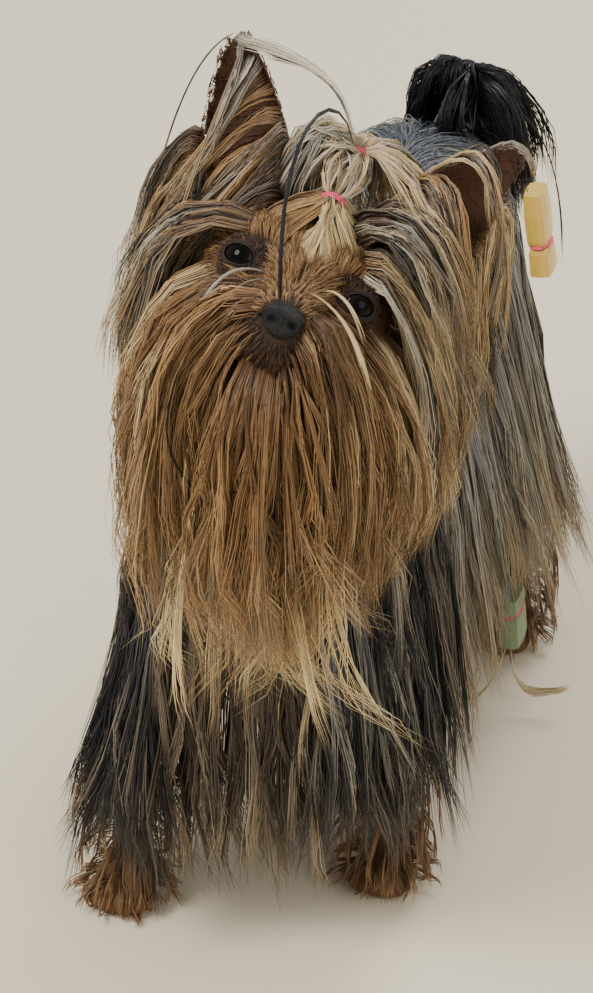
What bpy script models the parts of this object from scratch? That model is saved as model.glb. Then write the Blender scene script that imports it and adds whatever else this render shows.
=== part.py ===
"""A Yorkshire terrier in a long show coat, standing still with its head raised and tilted.

Metres, +Z up. The dog faces -Y and its left side is +X. The shapes are set out from a point on the
floor between the front feet, and the last step moves the origin to the middle of the whole dog's floor.
"""
import math

import bmesh
import bpy
import numpy as np
from mathutils import Matrix, Vector
from mathutils.bvhtree import BVHTree
from mathutils.geometry import intersect_point_tri, intersect_ray_tri

GAP = 0.0003                      # clearance between touching nodes
WELD = 0.0000002                  # points nearer than this count as one
SHORT_EDGE = 0.00002              # edges shorter than this are drawn together
DOWN = Vector((0, 0, -1))
BODY_SIDES = 16                   # corners of the trunk's sections
HEAD_SIDES = 14                   # corners of the skull's sections
NECK_SIDES = 12                   # corners of the neck's sections
LIMB_SIDES = 8                    # corners of the sections of legs, paws, jaw, tail and topknot

# The trunk's sections from the breast bone to the rump: x, y, z, half width, half height
TRUNK = (
    (0, -0.051, 0.158, 0.010, 0.012),
    (0, -0.045, 0.155, 0.023, 0.027),
    (0, -0.030, 0.152, 0.034, 0.042),
    (0, -0.005, 0.153, 0.042, 0.052),
    (0, 0.035, 0.152, 0.0455, 0.055),
    (0, 0.080, 0.156, 0.045, 0.054),
    (0, 0.120, 0.161, 0.041, 0.051),
    (0, 0.160, 0.165, 0.041, 0.048),
    (0, 0.188, 0.164, 0.036, 0.043),
    (0, 0.204, 0.162, 0.024, 0.031),
    (0, 0.211, 0.161, 0.010, 0.012),
)
# The neck rises from inside the shoulders to inside the back of the skull
NECK = (
    (0.000, 0.018, 0.172, 0.033, 0.034),
    (0.002, 0.000, 0.198, 0.032, 0.034),
    (0.008, -0.022, 0.228, 0.027, 0.029),
    (0.014, -0.040, 0.255, 0.025, 0.026),
    (0.020, -0.054, 0.272, 0.022, 0.022),
)
# The tail is carried up and curls a little over to the left
TAIL = (
    (0.000, 0.196, 0.176, 0.0090, 0.0090),
    (0.000, 0.211, 0.192, 0.0080, 0.0080),
    (0.003, 0.217, 0.208, 0.0068, 0.0068),
    (0.009, 0.213, 0.222, 0.0055, 0.0055),
    (0.016, 0.202, 0.229, 0.0036, 0.0036),
)
# Where the middle of each foot stands, and how far each is turned out
FEET = {
    "front_left": (0.041, 0.006),
    "front_right": (-0.045, -0.032),
    "hind_left": (0.044, 0.172),
    "hind_right": (-0.044, 0.163),
}
# A leg's sections from inside the trunk down to its paw. Each place is a share of the foot's own
# place plus an offset: share and offset across, share and offset back, height, then the half sizes
LEGS = {
    "front": (
        (0, 0.028, 0, -0.010, 0.150, 0.0125, 0.0175),
        (0, 0.034, 0, 0.000, 0.122, 0.0105, 0.0140),
        (0.5, 0.020, 0.5, 0.006, 0.085, 0.0082, 0.0095),
        (1, 0, 1, 0.006, 0.045, 0.0070, 0.0078),
        (1, 0, 1, 0.006, 0.020, 0.0080, 0.0085),
        (1, 0, 1, 0.002, 0.006, 0.0085, 0.0090),
    ),
    "hind": (
        (0, 0.026, 0, 0.160, 0.150, 0.0130, 0.0220),
        (0, 0.033, 0, 0.152, 0.120, 0.0115, 0.0190),
        (0.5, 0.019, 0, 0.156, 0.088, 0.0090, 0.0125),
        (1, 0, 1, 0.020, 0.056, 0.0068, 0.0078),
        (1, 0, 1, 0.012, 0.028, 0.0070, 0.0075),
        (1, 0, 1, 0.003, 0.006, 0.0085, 0.0090),
    ),
}
PAW_WIDTH = 0.023
# A paw's sections from its heel to its toes: offset back, height, share of the width, half height
PAW = (
    (0.014, 0.004, 0.45, 0.006),
    (0.008, 0.005, 0.80, 0.011),
    (-0.002, 0.005, 1.00, 0.011),
    (-0.010, 0.004, 0.92, 0.008),
    (-0.015, 0.003, 0.60, 0.005),
)
TOES = 4
TOE_RADIUS = 0.0052
TOE_SHAPE = (0.8, 1.25, 0.90)     # a toe's half sizes as shares of its radius
TOE_REACH = 0.0125                # how far in front of the foot's middle the middle toes lie,
TOE_DROP_BACK = 0.0030            # and how much less far the outer ones
TOE_SPREAD = 0.66                 # share of the paw's half width that carries the outer toes

# The head is set out on its own axes, from the middle of the skull: left, back and up
HEAD_CENTRE = Vector((0.0222, -0.0624, 0.2769))
HEAD_YAW = math.radians(16.2)
HEAD_PITCH = math.radians(30.1)
HEAD_ROLL = math.radians(22.0)
HEAD = (
    Matrix.Translation(HEAD_CENTRE)
    @ Matrix.Rotation(HEAD_YAW, 4, "Z")
    @ Matrix.Rotation(-HEAD_PITCH, 4, "X")
    @ Matrix.Rotation(HEAD_ROLL, 4, "Y")
)
# The skull and upper muzzle from the nape to the nose: left, back, up, half width, half height
SKULL = (
    (0, 0.034, -0.001, 0.009, 0.009),
    (0, 0.029, 0.000, 0.019, 0.018),
    (0, 0.017, 0.001, 0.0280, 0.0250),
    (0, 0.002, 0.000, 0.0315, 0.0280),
    (0, -0.013, -0.001, 0.0300, 0.0265),
    (0, -0.025, -0.004, 0.0245, 0.0205),
    (0, -0.033, -0.007, 0.0170, 0.0150),
    (0, -0.042, -0.0085, 0.0135, 0.0115),
    (0, -0.051, -0.0095, 0.0118, 0.0098),
    (0, -0.0555, -0.0095, 0.0085, 0.0075),
)
JAW = (
    (0, -0.010, -0.020, 0.0160, 0.0080),
    (0, -0.030, -0.0225, 0.0125, 0.0062),
    (0, -0.043, -0.0225, 0.0098, 0.0050),
    (0, -0.0505, -0.0215, 0.0060, 0.0036),
)
# One lip from the middle of the mouth to its corner: left, back, up, radius
LIP = (
    (0.0010, -0.0520, -0.0205, 0.00110),
    (0.0068, -0.0500, -0.0196, 0.00110),
    (0.0118, -0.0425, -0.0186, 0.00132),
    (0.0142, -0.0330, -0.0180, 0.00099),
)
LIP_SIDES = 5
EYE = Vector((0.0190, -0.0262, 0.0050))
EYE_RADIUS = 0.0068
EYE_LOOK = Vector((0.34, -0.93, 0.08))
EYE_FACETS = (12, 7)
LID_RADIUS = 0.0014
LID_RING = 0.0054                 # radius of the ring of lid round the eye's opening,
LID_OUT = 0.0042                  # how far in front of the eye's middle it lies,
LID_STRETCH = 1.12                # and how much wider than high it is
NOSE = Vector((0, -0.0560, -0.0085))
NOSE_HALF = Vector((0.0068, 0.0048, 0.0058))
NOSTRIL = Vector((0.0036, -0.0044, -0.0006))
NOSTRIL_HALF = (0.00156, 0.00192, 0.00120)
EAR_BASE = Vector((0.0215, 0.006, 0.0150))
EAR_TIP = Vector((0.0495, 0.004, 0.0725))
EAR_HALF_WIDTH = 0.0150
EAR_THICKNESS = 0.0024
EAR_CUP = 0.0095
EAR_STEPS = 6
EAR_ROOT = -0.16                  # share of its length that the ear starts below its base
EAR_TIP_WIDTH = 0.0012
EAR_TIP_THIN = 0.45               # share of the thickness left at the tip
EAR_INSIDE = 0.90                 # share of the width taken by the cup's inner face
EAR_ARC = 6                       # facets across the cup
# The topknot is gathered from the brow into two bands
BROW_HALF_WIDTH = 0.0130
BAND_FRONT = Vector((0, -0.0215, 0.0325))
BAND_BACK = Vector((0.0010, -0.0080, 0.0495))
KNOT_RADIUS = 0.0033
KNOT_MIDDLE = (1.9, 1.5)          # half sizes between the bands, in radii
KNOT_TOP = ((0.006, 1.7, 1.4), (0.011, 1.0, 0.9))   # above the back band: how far, half sizes in radii
BAND_WIRE = 0.0011
BAND_STEPS = 10                   # facets round an elastic band
WIRE_SIDES = 4

COLOURS = {
    "steel": (0.035, 0.036, 0.040),
    "tan": (0.33, 0.19, 0.085),
    "cream": (0.55, 0.42, 0.26),
    "ear": (0.12, 0.065, 0.032),
    "black": (0.008, 0.007, 0.007),
    "brown": (0.030, 0.012, 0.006),
    "pink": (0.72, 0.05, 0.12),
    "yellow": (0.78, 0.50, 0.08),
    "green": (0.12, 0.20, 0.09),
}
ROUGHNESS = {"black": 0.35, "brown": 0.08}


def material(name):
    """One plain material for each colour."""
    mat = bpy.data.materials.get(name) or bpy.data.materials.new(name)
    mat.use_nodes = True
    shader = mat.node_tree.nodes["Principled BSDF"]
    shader.inputs["Base Color"].default_value = (*COLOURS[name], 1)
    shader.inputs["Roughness"].default_value = ROUGHNESS.get(name, 0.6)
    shader.inputs["Metallic"].default_value = 0.0
    return mat


def add_object(name, bm, collection, colour=None):
    """Turn a bmesh into an object of triangles that point out."""
    bmesh.ops.recalc_face_normals(bm, faces=bm.faces)
    bmesh.ops.triangulate(bm, faces=bm.faces)
    mesh = bpy.data.meshes.new(name)
    bm.to_mesh(mesh)
    bm.free()
    obj = bpy.data.objects.new(name, mesh)
    collection.objects.link(obj)
    if colour:
        mesh.materials.append(material(colour))
    return obj


def smooth_stations(stations, steps):
    """Points on a smooth curve through the stations, with their half sizes."""
    rows = [np.array(s, float) for s in stations]
    result = []
    for i in range(len(rows) - 1):
        before = rows[max(i - 1, 0)]
        after = rows[min(i + 2, len(rows) - 1)]
        a, b = rows[i], rows[i + 1]
        bend_in = (b - before) / 2 if i else b - a
        bend_out = (after - a) / 2 if i + 2 < len(rows) else b - a
        for k in range(steps):
            t = k / steps
            result.append(
                (2 * t**3 - 3 * t**2 + 1) * a
                + (t**3 - 2 * t**2 + t) * bend_in
                + (3 * t**2 - 2 * t**3) * b
                + (t**3 - t**2) * bend_out
            )
    result.append(rows[-1])
    return result


def skin_rings(bm, rings):
    """Join closed rings of equal length into a tube with fanned ends."""
    rows = [[bm.verts.new(p) for p in ring] for ring in rings]
    count = len(rows[0])
    for near, far in zip(rows, rows[1:]):
        for i in range(count):
            j = (i + 1) % count
            bm.faces.new((near[i], near[j], far[j], far[i]))
    for row in (rows[0], rows[-1]):
        middle = sum((v.co for v in row), Vector()) / count
        hub = bm.verts.new(middle)
        for i in range(count):
            bm.faces.new((row[i], row[(i + 1) % count], hub))


def tube(stations, sides, steps=1, grow=0.0, floor=None, frame=Matrix.Identity(4)):
    """A body of elliptical sections along a curve; grow makes it larger all round."""
    rows = smooth_stations(stations, steps)
    centres = [Vector(r[:3]) for r in rows]
    last = len(rows) - 1
    rings = []
    for i, row in enumerate(rows):
        ahead = (centres[min(i + 1, last)] - centres[max(i - 1, 0)]).normalized()
        side = (Vector((1, 0, 0)) - ahead * ahead.x).normalized()
        up = side.cross(ahead)
        centre = centres[i] + ahead * grow * ((i == last) - (i == 0))
        ring = []
        for k in range(sides):
            angle = math.tau * (k + 0.5) / sides
            p = centre + side * (row[3] + grow) * math.cos(angle) + up * (row[4] + grow) * math.sin(angle)
            if floor is not None:
                p.z = max(p.z, floor)
            ring.append(frame @ p)
        rings.append(ring)
    bm = bmesh.new()
    skin_rings(bm, rings)
    return bm


def ball(centre, half, segments=12, rings=8, frame=Matrix.Identity(4)):
    """A ball with three half sizes, in the given frame."""
    bm = bmesh.new()
    size = Matrix.Diagonal((*half, 1))
    bmesh.ops.create_uvsphere(
        bm, u_segments=segments, v_segments=rings, radius=1,
        matrix=frame @ Matrix.Translation(centre) @ size,
    )
    return bm


def close_hoop(rings):
    """A bmesh of rings of points joined into a closed hoop."""
    bm = bmesh.new()
    rows = [[bm.verts.new(p) for p in ring] for ring in rings]
    count = len(rows[0])
    for near, far in zip(rows, rows[1:] + rows[:1]):
        for k in range(count):
            j = (k + 1) % count
            bm.faces.new((near[k], near[j], far[j], far[k]))
    return bm


def hoop(centre, normal, radius, wire, frame=Matrix.Identity(4), stretch=1.0):
    """A ring of round wire about the normal; stretch widens it across."""
    turn = normal.normalized().to_track_quat("Z", "X").to_matrix().to_4x4()
    place = Matrix.Translation(centre) @ turn
    rings = []
    for i in range(BAND_STEPS):
        a = math.tau * i / BAND_STEPS
        out = Vector((math.cos(a) * stretch, math.sin(a), 0))
        ring = []
        for k in range(WIRE_SIDES):
            b = math.tau * k / WIRE_SIDES
            local = out * (radius + wire * math.cos(b)) + Vector((0, 0, wire * math.sin(b)))
            ring.append(frame @ (place @ local))
        rings.append(ring)
    return close_hoop(rings)


def oval_hoop(centre, axis, out, across, half_out, half_across, wire):
    """An oval ring of round wire about an axis."""
    rings = []
    for i in range(BAND_STEPS):
        a = math.tau * i / BAND_STEPS
        spoke = out * math.cos(a) * half_out + across * math.sin(a) * half_across
        away = (out * math.cos(a) / half_out + across * math.sin(a) / half_across).normalized()
        ring = []
        for k in range(WIRE_SIDES):
            b = math.tau * k / WIRE_SIDES
            ring.append(centre + spoke + away * wire * math.cos(b) + axis * wire * math.sin(b))
        rings.append(ring)
    return close_hoop(rings)


def cut(target, operation, objects, solver="EXACT"):
    """Apply one Boolean with a collection of closed objects, then remove them."""
    if not objects:
        return
    group = bpy.data.collections.new("operands")
    bpy.context.scene.collection.children.link(group)
    for obj in objects:
        for owner in list(obj.users_collection):
            owner.objects.unlink(obj)
        group.objects.link(obj)
    boolean = target.modifiers.new("boolean", "BOOLEAN")
    boolean.operation = operation
    boolean.operand_type = "COLLECTION"
    boolean.collection = group
    boolean.solver = solver
    graph = bpy.context.evaluated_depsgraph_get()
    graph.update()
    mesh = bpy.data.meshes.new_from_object(target.evaluated_get(graph))
    target.modifiers.remove(boolean)
    colour = target.data.materials[0]
    old = target.data
    target.data = mesh
    mesh.name = target.name
    bpy.data.meshes.remove(old)
    mesh.materials.clear()
    mesh.materials.append(colour)
    for polygon in mesh.polygons:
        polygon.material_index = 0
    for obj in objects:
        bpy.data.objects.remove(obj)
    bpy.data.collections.remove(group)
    keep_largest(target)


def is_sound(mesh):
    """Whether each edge joins two faces, also once points closer than a weld are one."""
    bm = bmesh.new()
    bm.from_mesh(mesh)
    bmesh.ops.remove_doubles(bm, verts=bm.verts, dist=WELD)
    sound = all(len(e.link_faces) == 2 for e in bm.edges) and all(v.is_manifold for v in bm.verts)
    bm.free()
    return sound


def clip_ears(face, pairs):
    """Triangles of a flat face, with no diagonal between points that an edge joins already."""
    ring = list(face.verts)
    triangles = []
    while len(ring) > 3:
        best, choice = 0.0, None
        for i, middle in enumerate(ring):
            before, after = ring[i - 1], ring[(i + 1) % len(ring)]
            a, b, c = before.co, middle.co, after.co
            area = (b - a).cross(c - b).dot(face.normal)
            quality = area / max((b - a).length_squared, (c - b).length_squared, (a - c).length_squared)
            if quality <= best or frozenset((before.index, after.index)) in pairs:
                continue
            rest = [v.co for v in ring if v not in (before, middle, after)]
            if any(intersect_point_tri(p, a, b, c) for p in rest):
                continue
            best, choice = quality, i
        if choice is None:
            return None
        before, after = ring[choice - 1], ring[(choice + 1) % len(ring)]
        pairs.add(frozenset((before.index, after.index)))
        triangles.append((before, ring[choice], after))
        ring.pop(choice)
    return triangles + [tuple(ring)]


def to_triangles(obj):
    """Split the faces into triangles so that each edge still joins just two of them."""
    bm = bmesh.new()
    bm.from_mesh(obj.data)
    bmesh.ops.dissolve_degenerate(bm, dist=SHORT_EDGE, edges=bm.edges)
    bmesh.ops.dissolve_verts(bm, verts=[v for v in bm.verts if len(v.link_edges) == 2])
    bm.verts.index_update()
    bm.normal_update()
    pairs = {frozenset(v.index for v in edge.verts) for edge in bm.edges}
    left = []
    for face in [f for f in bm.faces if len(f.verts) > 3]:
        triangles = clip_ears(face, pairs)
        if triangles is None:
            left.append(face)
            continue
        bm.faces.remove(face)
        for corners in triangles:
            bm.faces.new(corners)
    bmesh.ops.triangulate(bm, faces=left)
    bm.to_mesh(obj.data)
    bm.free()


def keep_largest(obj):
    """Leave only the closed surface with the most volume."""
    bm = bmesh.new()
    bm.from_mesh(obj.data)
    seen = set()
    shells = []
    for face in bm.faces:
        if face in seen:
            continue
        stack, shell = [face], []
        seen.add(face)
        while stack:
            item = stack.pop()
            shell.append(item)
            for edge in item.edges:
                for other in edge.link_faces:
                    if other not in seen:
                        seen.add(other)
                        stack.append(other)
        shells.append(shell)
    volumes = []
    for shell in shells:
        corners = [[v.co for v in face.verts] for face in shell]
        volumes.append(abs(sum(
            c[0].dot(c[k].cross(c[k + 1])) for c in corners for k in range(1, len(c) - 1)
        )))
    largest = set(shells[volumes.index(max(volumes))])
    bmesh.ops.delete(bm, geom=[f for f in bm.faces if f not in largest], context="FACES")
    bm.to_mesh(obj.data)
    bm.free()
    to_triangles(obj)


def surface(objects):
    """One search tree over the faces of several objects."""
    points, faces = [], []
    for obj in objects:
        start = len(points)
        points.extend(v.co.copy() for v in obj.data.vertices)
        faces.extend([start + i for i in p.vertices] for p in obj.data.polygons)
    return BVHTree.FromPolygons(points, faces)


LOCK_PLACES = (0.09, 0.28, 0.51, 0.76, 1.0)    # where the rings lie along a lock, after its root
LOCK_WIDTHS = (0.40, 0.78, 1.00, 0.96, 0.66)   # share of the half width at each ring
LOCK_DEPTHS = (1.00, 1.00, 0.95, 0.80, 0.60)   # share of the thickness at each ring
LOCK_DEPTH = 0.0030               # from a lock's flat underside to its ridge,
LOCK_UNDER = 0.25                 # and the share of it on the inner side of its line
ROOT_SINK = 0.0035                # how deep a root is set into its core
COAT_CLEAR = 0.0022               # how far the lowest layer of a coat lies off its own core
LAYER = 0.0036                    # from one layer of locks to the next
LAYER_RISE = 3.6                  # a lock is at its layer by one part in this of its length
SLIP = 0.0005                     # most that one lock lies deeper or higher than the next
FLOOR_CLEAR = 0.0016              # lowest a tip may hang
PULL = 0.34                       # share of its length over which a lock follows its comb,
HANG = 0.36                       # and over which it hangs straight to its tip
SPARE = 1.2                       # how much thicker a lock is taken to be when its gaps are tested
SWELL = 0.017                     # share by which locks thicken at each try to join them
SWELL_TRIES = 12
LIFTS = (0.0, 0.003, 0.006, 0.009)   # how far out a lock is bent to clear its neighbours
JITTER = 0.002                    # how far a root or tip strays from its even place
SEED = 7


class Lock:
    """One flat, tapered lock: a bending line of points, the way it is wide, and its outer side."""

    def __init__(self, points, side, outer, half_width, depth=LOCK_DEPTH):
        self.points = points
        self.side = side
        self.outer = outer
        self.half_width = half_width
        self.depth = depth

    def rings(self, grow=0.0, swell=1.0):
        """Three corners at each ring: two edges and a ridge on the outer side."""
        last = len(self.points) - 1
        frames = []
        for i in range(last):
            ahead = (self.points[i + 1] - self.points[max(i - 1, 0)]).normalized()
            side = (self.side - ahead * ahead.dot(self.side)).normalized()
            frames.append((side, ahead.cross(side)))
        facing = math.copysign(1, sum(ridge.dot(self.outer) for _, ridge in frames))
        rows = []
        for i, (side, ridge) in enumerate(frames):
            p = self.points[i]
            wide = self.half_width * LOCK_WIDTHS[i] + grow * 2
            thick = self.depth * LOCK_DEPTHS[i] * swell
            under = p - ridge * facing * (thick * LOCK_UNDER + grow)
            over = p + ridge * facing * (thick * (1 - LOCK_UNDER) + grow * 2)
            rows.append((under + side * wide, over, under - side * wide))
        return rows

    def solid(self, grow=0.0, swell=1.0):
        """A closed mesh, larger all round by grow, its thickness times swell."""
        bm = bmesh.new()
        rows = [[bm.verts.new(p) for p in ring] for ring in self.rings(grow, swell)]
        end = (self.points[-1] - self.points[-2]).normalized()
        tip = bm.verts.new(self.points[-1] + end * grow)
        bm.faces.new(rows[0])
        for near, far in zip(rows, rows[1:]):
            for k in range(3):
                bm.faces.new((near[k], near[(k + 1) % 3], far[(k + 1) % 3], far[k]))
        for k in range(3):
            bm.faces.new((rows[-1][k], rows[-1][(k + 1) % 3], tip))
        bmesh.ops.triangulate(bm, faces=bm.faces)
        return bm


def pierces(edge_face, other, shared):
    """Whether the edge of a triangle across from the shared corner passes through another triangle."""
    a, b = [v.co for v in edge_face.verts if v is not shared]
    hit = intersect_ray_tri(*[v.co for v in other.verts], b - a, a, True)
    return hit is not None and 0 < (hit - a).dot(b - a) < (b - a).length_squared


def is_folded(bm, tree):
    """Whether a closed shape of triangles crosses itself."""
    bm.faces.ensure_lookup_table()
    for i, j in tree.overlap(tree):
        if i >= j:
            continue
        one, two = bm.faces[i], bm.faces[j]
        shared = set(one.verts) & set(two.verts)
        if not shared:
            return True
        if len(shared) == 1:
            corner = shared.pop()
            if pierces(one, two, corner) or pierces(two, one, corner):
                return True
    return False


def clears(bm, tree):
    """Whether a closed shape crosses neither itself nor the search tree; the shape is used up."""
    own = BVHTree.FromBMesh(bm)
    clear = not is_folded(bm, own) and not own.overlap(tree)
    bm.free()
    return clear


def curve_point(a, b, c, d, t):
    """A point on the curve from a to d, pulled towards b and c."""
    s = 1 - t
    return a * s**3 + b * 3 * s * s * t + c * 3 * s * t * t + d * t**3


def lay_lock(core, root, comb, tip, half_width, away, fall=DOWN, lift=0.0, sink=ROOT_SINK,
             layer=0, pull=PULL, slip=0.0, hug=True):
    """A lock combed away from its root on the core, which then hangs to its tip.

    Locks of a higher layer lie further out, so that they cross the others only at their roots.
    Those that hug a round core are kept off its surface all the way.
    """
    start, normal, _, _ = core.find_nearest(root)
    comb = comb.normalized()
    fall = fall.normalized()
    away = away.normalized()
    lift += layer * LAYER
    tip = tip + away * lift
    span = (tip - start).length
    first = start + comb * span * pull + away * lift
    second = tip - fall * span * HANG + away * lift * 0.5
    points = [start - normal * (sink + slip)]
    for place in LOCK_PLACES:
        p = curve_point(start, first, second, tip, place)
        near, out, _, _ = core.find_nearest(p)
        clear = COAT_CLEAR + slip + layer * LAYER * min(place * LAYER_RISE, 1)
        short = clear - (p - near).dot(out)
        if hug and short > 0:
            p = p + out * short
        p.z = max(p.z, FLOOR_CLEAR)
        points.append(p)
    side = comb.cross(fall)
    if side.length < 0.25:
        side = fall.cross(normal)
    return Lock(points, side.normalized(), away, half_width)


def lay_row(core, obstacles, row):
    """The locks of one row, each bent out until it clears its neighbours, or left out."""
    locks = []
    for spec in row:
        for lift in LIFTS:
            lock = lay_lock(core, lift=lift, **spec)
            if clears(lock.solid(), obstacles) and clears(lock.solid(GAP, SPARE), obstacles):
                locks.append(lock)
                break
    return locks


def fan(dice, count, roots, combs, tips, half_width, away, fall=DOWN, frame=None, layer=0, **more):
    """Locks spread evenly between a first and a last one."""
    place = frame or Matrix.Identity(4)
    turn = place.to_3x3()
    specs = []
    for i in range(count):
        t = (i + 0.5) / count
        shake = Vector(dice.uniform(-JITTER, JITTER, 3))
        specs.append(
            dict(
                root=place @ Vector(roots[0]).lerp(Vector(roots[1]), t) + shake * 0.4,
                comb=turn @ Vector(combs[0]).lerp(Vector(combs[1]), t),
                tip=Vector(tips[0]).lerp(Vector(tips[1]), t) + shake + Vector((0, 0, shake.x)),
                half_width=half_width * dice.uniform(0.85, 1.15),
                away=Vector(away),
                fall=Vector(fall),
                layer=layer + i % 2,
                slip=dice.uniform(0, SLIP),
                **more,
            )
        )
    return specs


def trunk_row(y):
    """The trunk's centre height and half sizes at a place along it."""
    rows = np.array(TRUNK)
    return [float(np.interp(y, rows[:, 1], rows[:, k])) for k in (2, 3, 4)]


def trunk_point(y, angle, side):
    """A point on the trunk, by its angle down from the spine."""
    height, half_width, half_height = trunk_row(y)
    return Vector((side * half_width * math.sin(angle), y, height + half_height * math.cos(angle)))


# Rows of the body's coat on each flank: angle of the roots down from the spine, how many locks,
# how far the tips stand out, how much higher than the hem they end, and their layer
FLANK_ROWS = (
    (0.10, 10, 0.0580, 0.000, 2),
    (0.95, 8, 0.0580, 0.018, 0),
)
FLANK_START = -0.026
FLANK_END = 0.192
FLANK_HALF_WIDTH = 0.0108
NECK_BACK = 0.040                 # in front of this the neck covers the spine,
NECK_ANGLE = 1.05                 # and the coat starts this far down the side


def hem_height(y, side):
    """Height of the coat's lower edge: long at the shoulders and hips, shorter between."""
    base = 0.010 + 0.014 * math.sin(math.pi * min(max((y - 0.01) / 0.17, 0), 1))
    return base + (0.022 if side > 0 and 0.100 < y < 0.150 else 0)


def hem_flare(y, side):
    """How far the hem swings out where the coat is fullest."""
    rear = max(y - 0.12, 0) * 0.14
    front = max(0.02 - y, 0) * 0.10 if side < 0 else 0
    return rear + front


def flank_specs(dice, side):
    """The curtain of coat from the parting along the spine to the hem."""
    rows = []
    for row, (angle, count, stand, rise, layer) in enumerate(FLANK_ROWS):
        specs = []
        for i in range(count):
            t = (i + 0.5 + 0.25 * (row % 2)) / count
            y = FLANK_START + (FLANK_END - FLANK_START) * t
            low = max(angle, NECK_ANGLE) if y < NECK_BACK else angle
            root = trunk_point(y, low * dice.uniform(0.9, 1.1), side)
            tip_y = y * 1.06 + 0.006 + dice.uniform(-0.004, 0.004)
            tip = Vector((
                side * (stand + hem_flare(y, side)),
                tip_y,
                hem_height(y, side) + rise + dice.uniform(-0.006, 0.006),
            ))
            specs.append(dict(
                root=root,
                comb=Vector((side * math.cos(angle) + side * 0.2, 0.10, -math.sin(angle) - 0.1)),
                tip=tip,
                half_width=FLANK_HALF_WIDTH * dice.uniform(0.88, 1.12),
                away=Vector((side, 0, 0)),
                fall=Vector((side * 0.16, 0.05, -1)),
                layer=layer + i % 2,
                slip=dice.uniform(0, SLIP),
            ))
        rows.append(specs)
    return rows


# Fans of locks: count, first and last root, first and last comb, first and last tip, half width, away.
# A fan on the head has its roots and combs on the head's own axes and its tips in the dog's.
CHEST_FANS = (
    (4, ((-0.022, -0.046, 0.150), (0.022, -0.046, 0.150)), ((-0.4, -1, -0.3), (0.4, -1, -0.3)),
     ((-0.020, -0.047, 0.045), (0.022, -0.043, 0.045)), 0.0055, (0, -1, 0)),
    (5, ((-0.020, -0.030, 0.120), (0.020, -0.030, 0.120)), ((-0.2, -0.6, -1), (0.2, -0.6, -1)),
     ((-0.017, -0.034, 0.014), (0.019, -0.026, 0.014)), 0.0055, (0, -1, 0)),
)
SHOULDER_FANS = (
    (5, ((-0.026, -0.040, 0.178), (-0.040, -0.014, 0.178)), ((-0.8, -0.7, -0.5), (-1, -0.4, -0.5)),
     ((-0.030, -0.066, 0.030), (-0.073, -0.040, 0.008)), 0.0070, (-0.6, -0.8, 0)),
    (3, ((-0.024, -0.043, 0.150), (-0.036, -0.026, 0.150)), ((-0.6, -0.8, -0.5), (-1, -0.5, -0.5)),
     ((-0.036, -0.063, 0.050), (-0.066, -0.045, 0.034)), 0.0065, (-0.6, -0.8, 0)),
    (5, ((0.026, -0.040, 0.178), (0.040, -0.014, 0.178)), ((0.8, -0.7, -0.5), (1, -0.4, -0.5)),
     ((0.030, -0.046, 0.042), (0.065, -0.014, 0.030)), 0.0070, (0.6, -0.8, 0)),
    (3, ((0.024, -0.043, 0.150), (0.036, -0.026, 0.150)), ((0.6, -0.8, -0.5), (1, -0.5, -0.5)),
     ((0.030, -0.042, 0.066), (0.060, -0.020, 0.056)), 0.0065, (0.6, -0.8, 0)),
)
RUMP_FANS = (
    (6, ((-0.034, 0.192, 0.186), (0.036, 0.192, 0.186)), ((-0.7, 1, -0.2), (0.7, 1, -0.2)),
     ((-0.056, 0.214, 0.030), (0.066, 0.222, 0.022)), 0.0078, (0, 1, 0)),
    (5, ((-0.028, 0.206, 0.158), (0.028, 0.206, 0.158)), ((-0.4, 1, -0.4), (0.4, 1, -0.4)),
     ((-0.044, 0.218, 0.052), (0.050, 0.224, 0.044)), 0.0078, (0, 1, 0)),
)
TAIL_FANS = (
    (5, ((0.000, 0.214, 0.198), (0.016, 0.202, 0.228)), ((0.2, 1, 0.3), (0.4, 0.8, 0.6)),
     ((0.000, 0.240, 0.150), (0.046, 0.224, 0.176)), 0.0055, (0, 1, 0)),
    (4, ((0.006, 0.204, 0.200), (0.018, 0.198, 0.230)), ((1, 0.2, 0.2), (0.7, 0.2, 0.8)),
     ((0.034, 0.214, 0.176), (0.054, 0.198, 0.200)), 0.0050, (1, 0.4, 0)),
    (3, ((0.000, 0.216, 0.212), (0.014, 0.206, 0.229)), ((-0.6, 0.5, 0.8), (0.2, 0.2, 1)),
     ((-0.020, 0.226, 0.206), (0.004, 0.204, 0.250)), 0.0045, (-1, 0.4, 0)),
)
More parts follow.
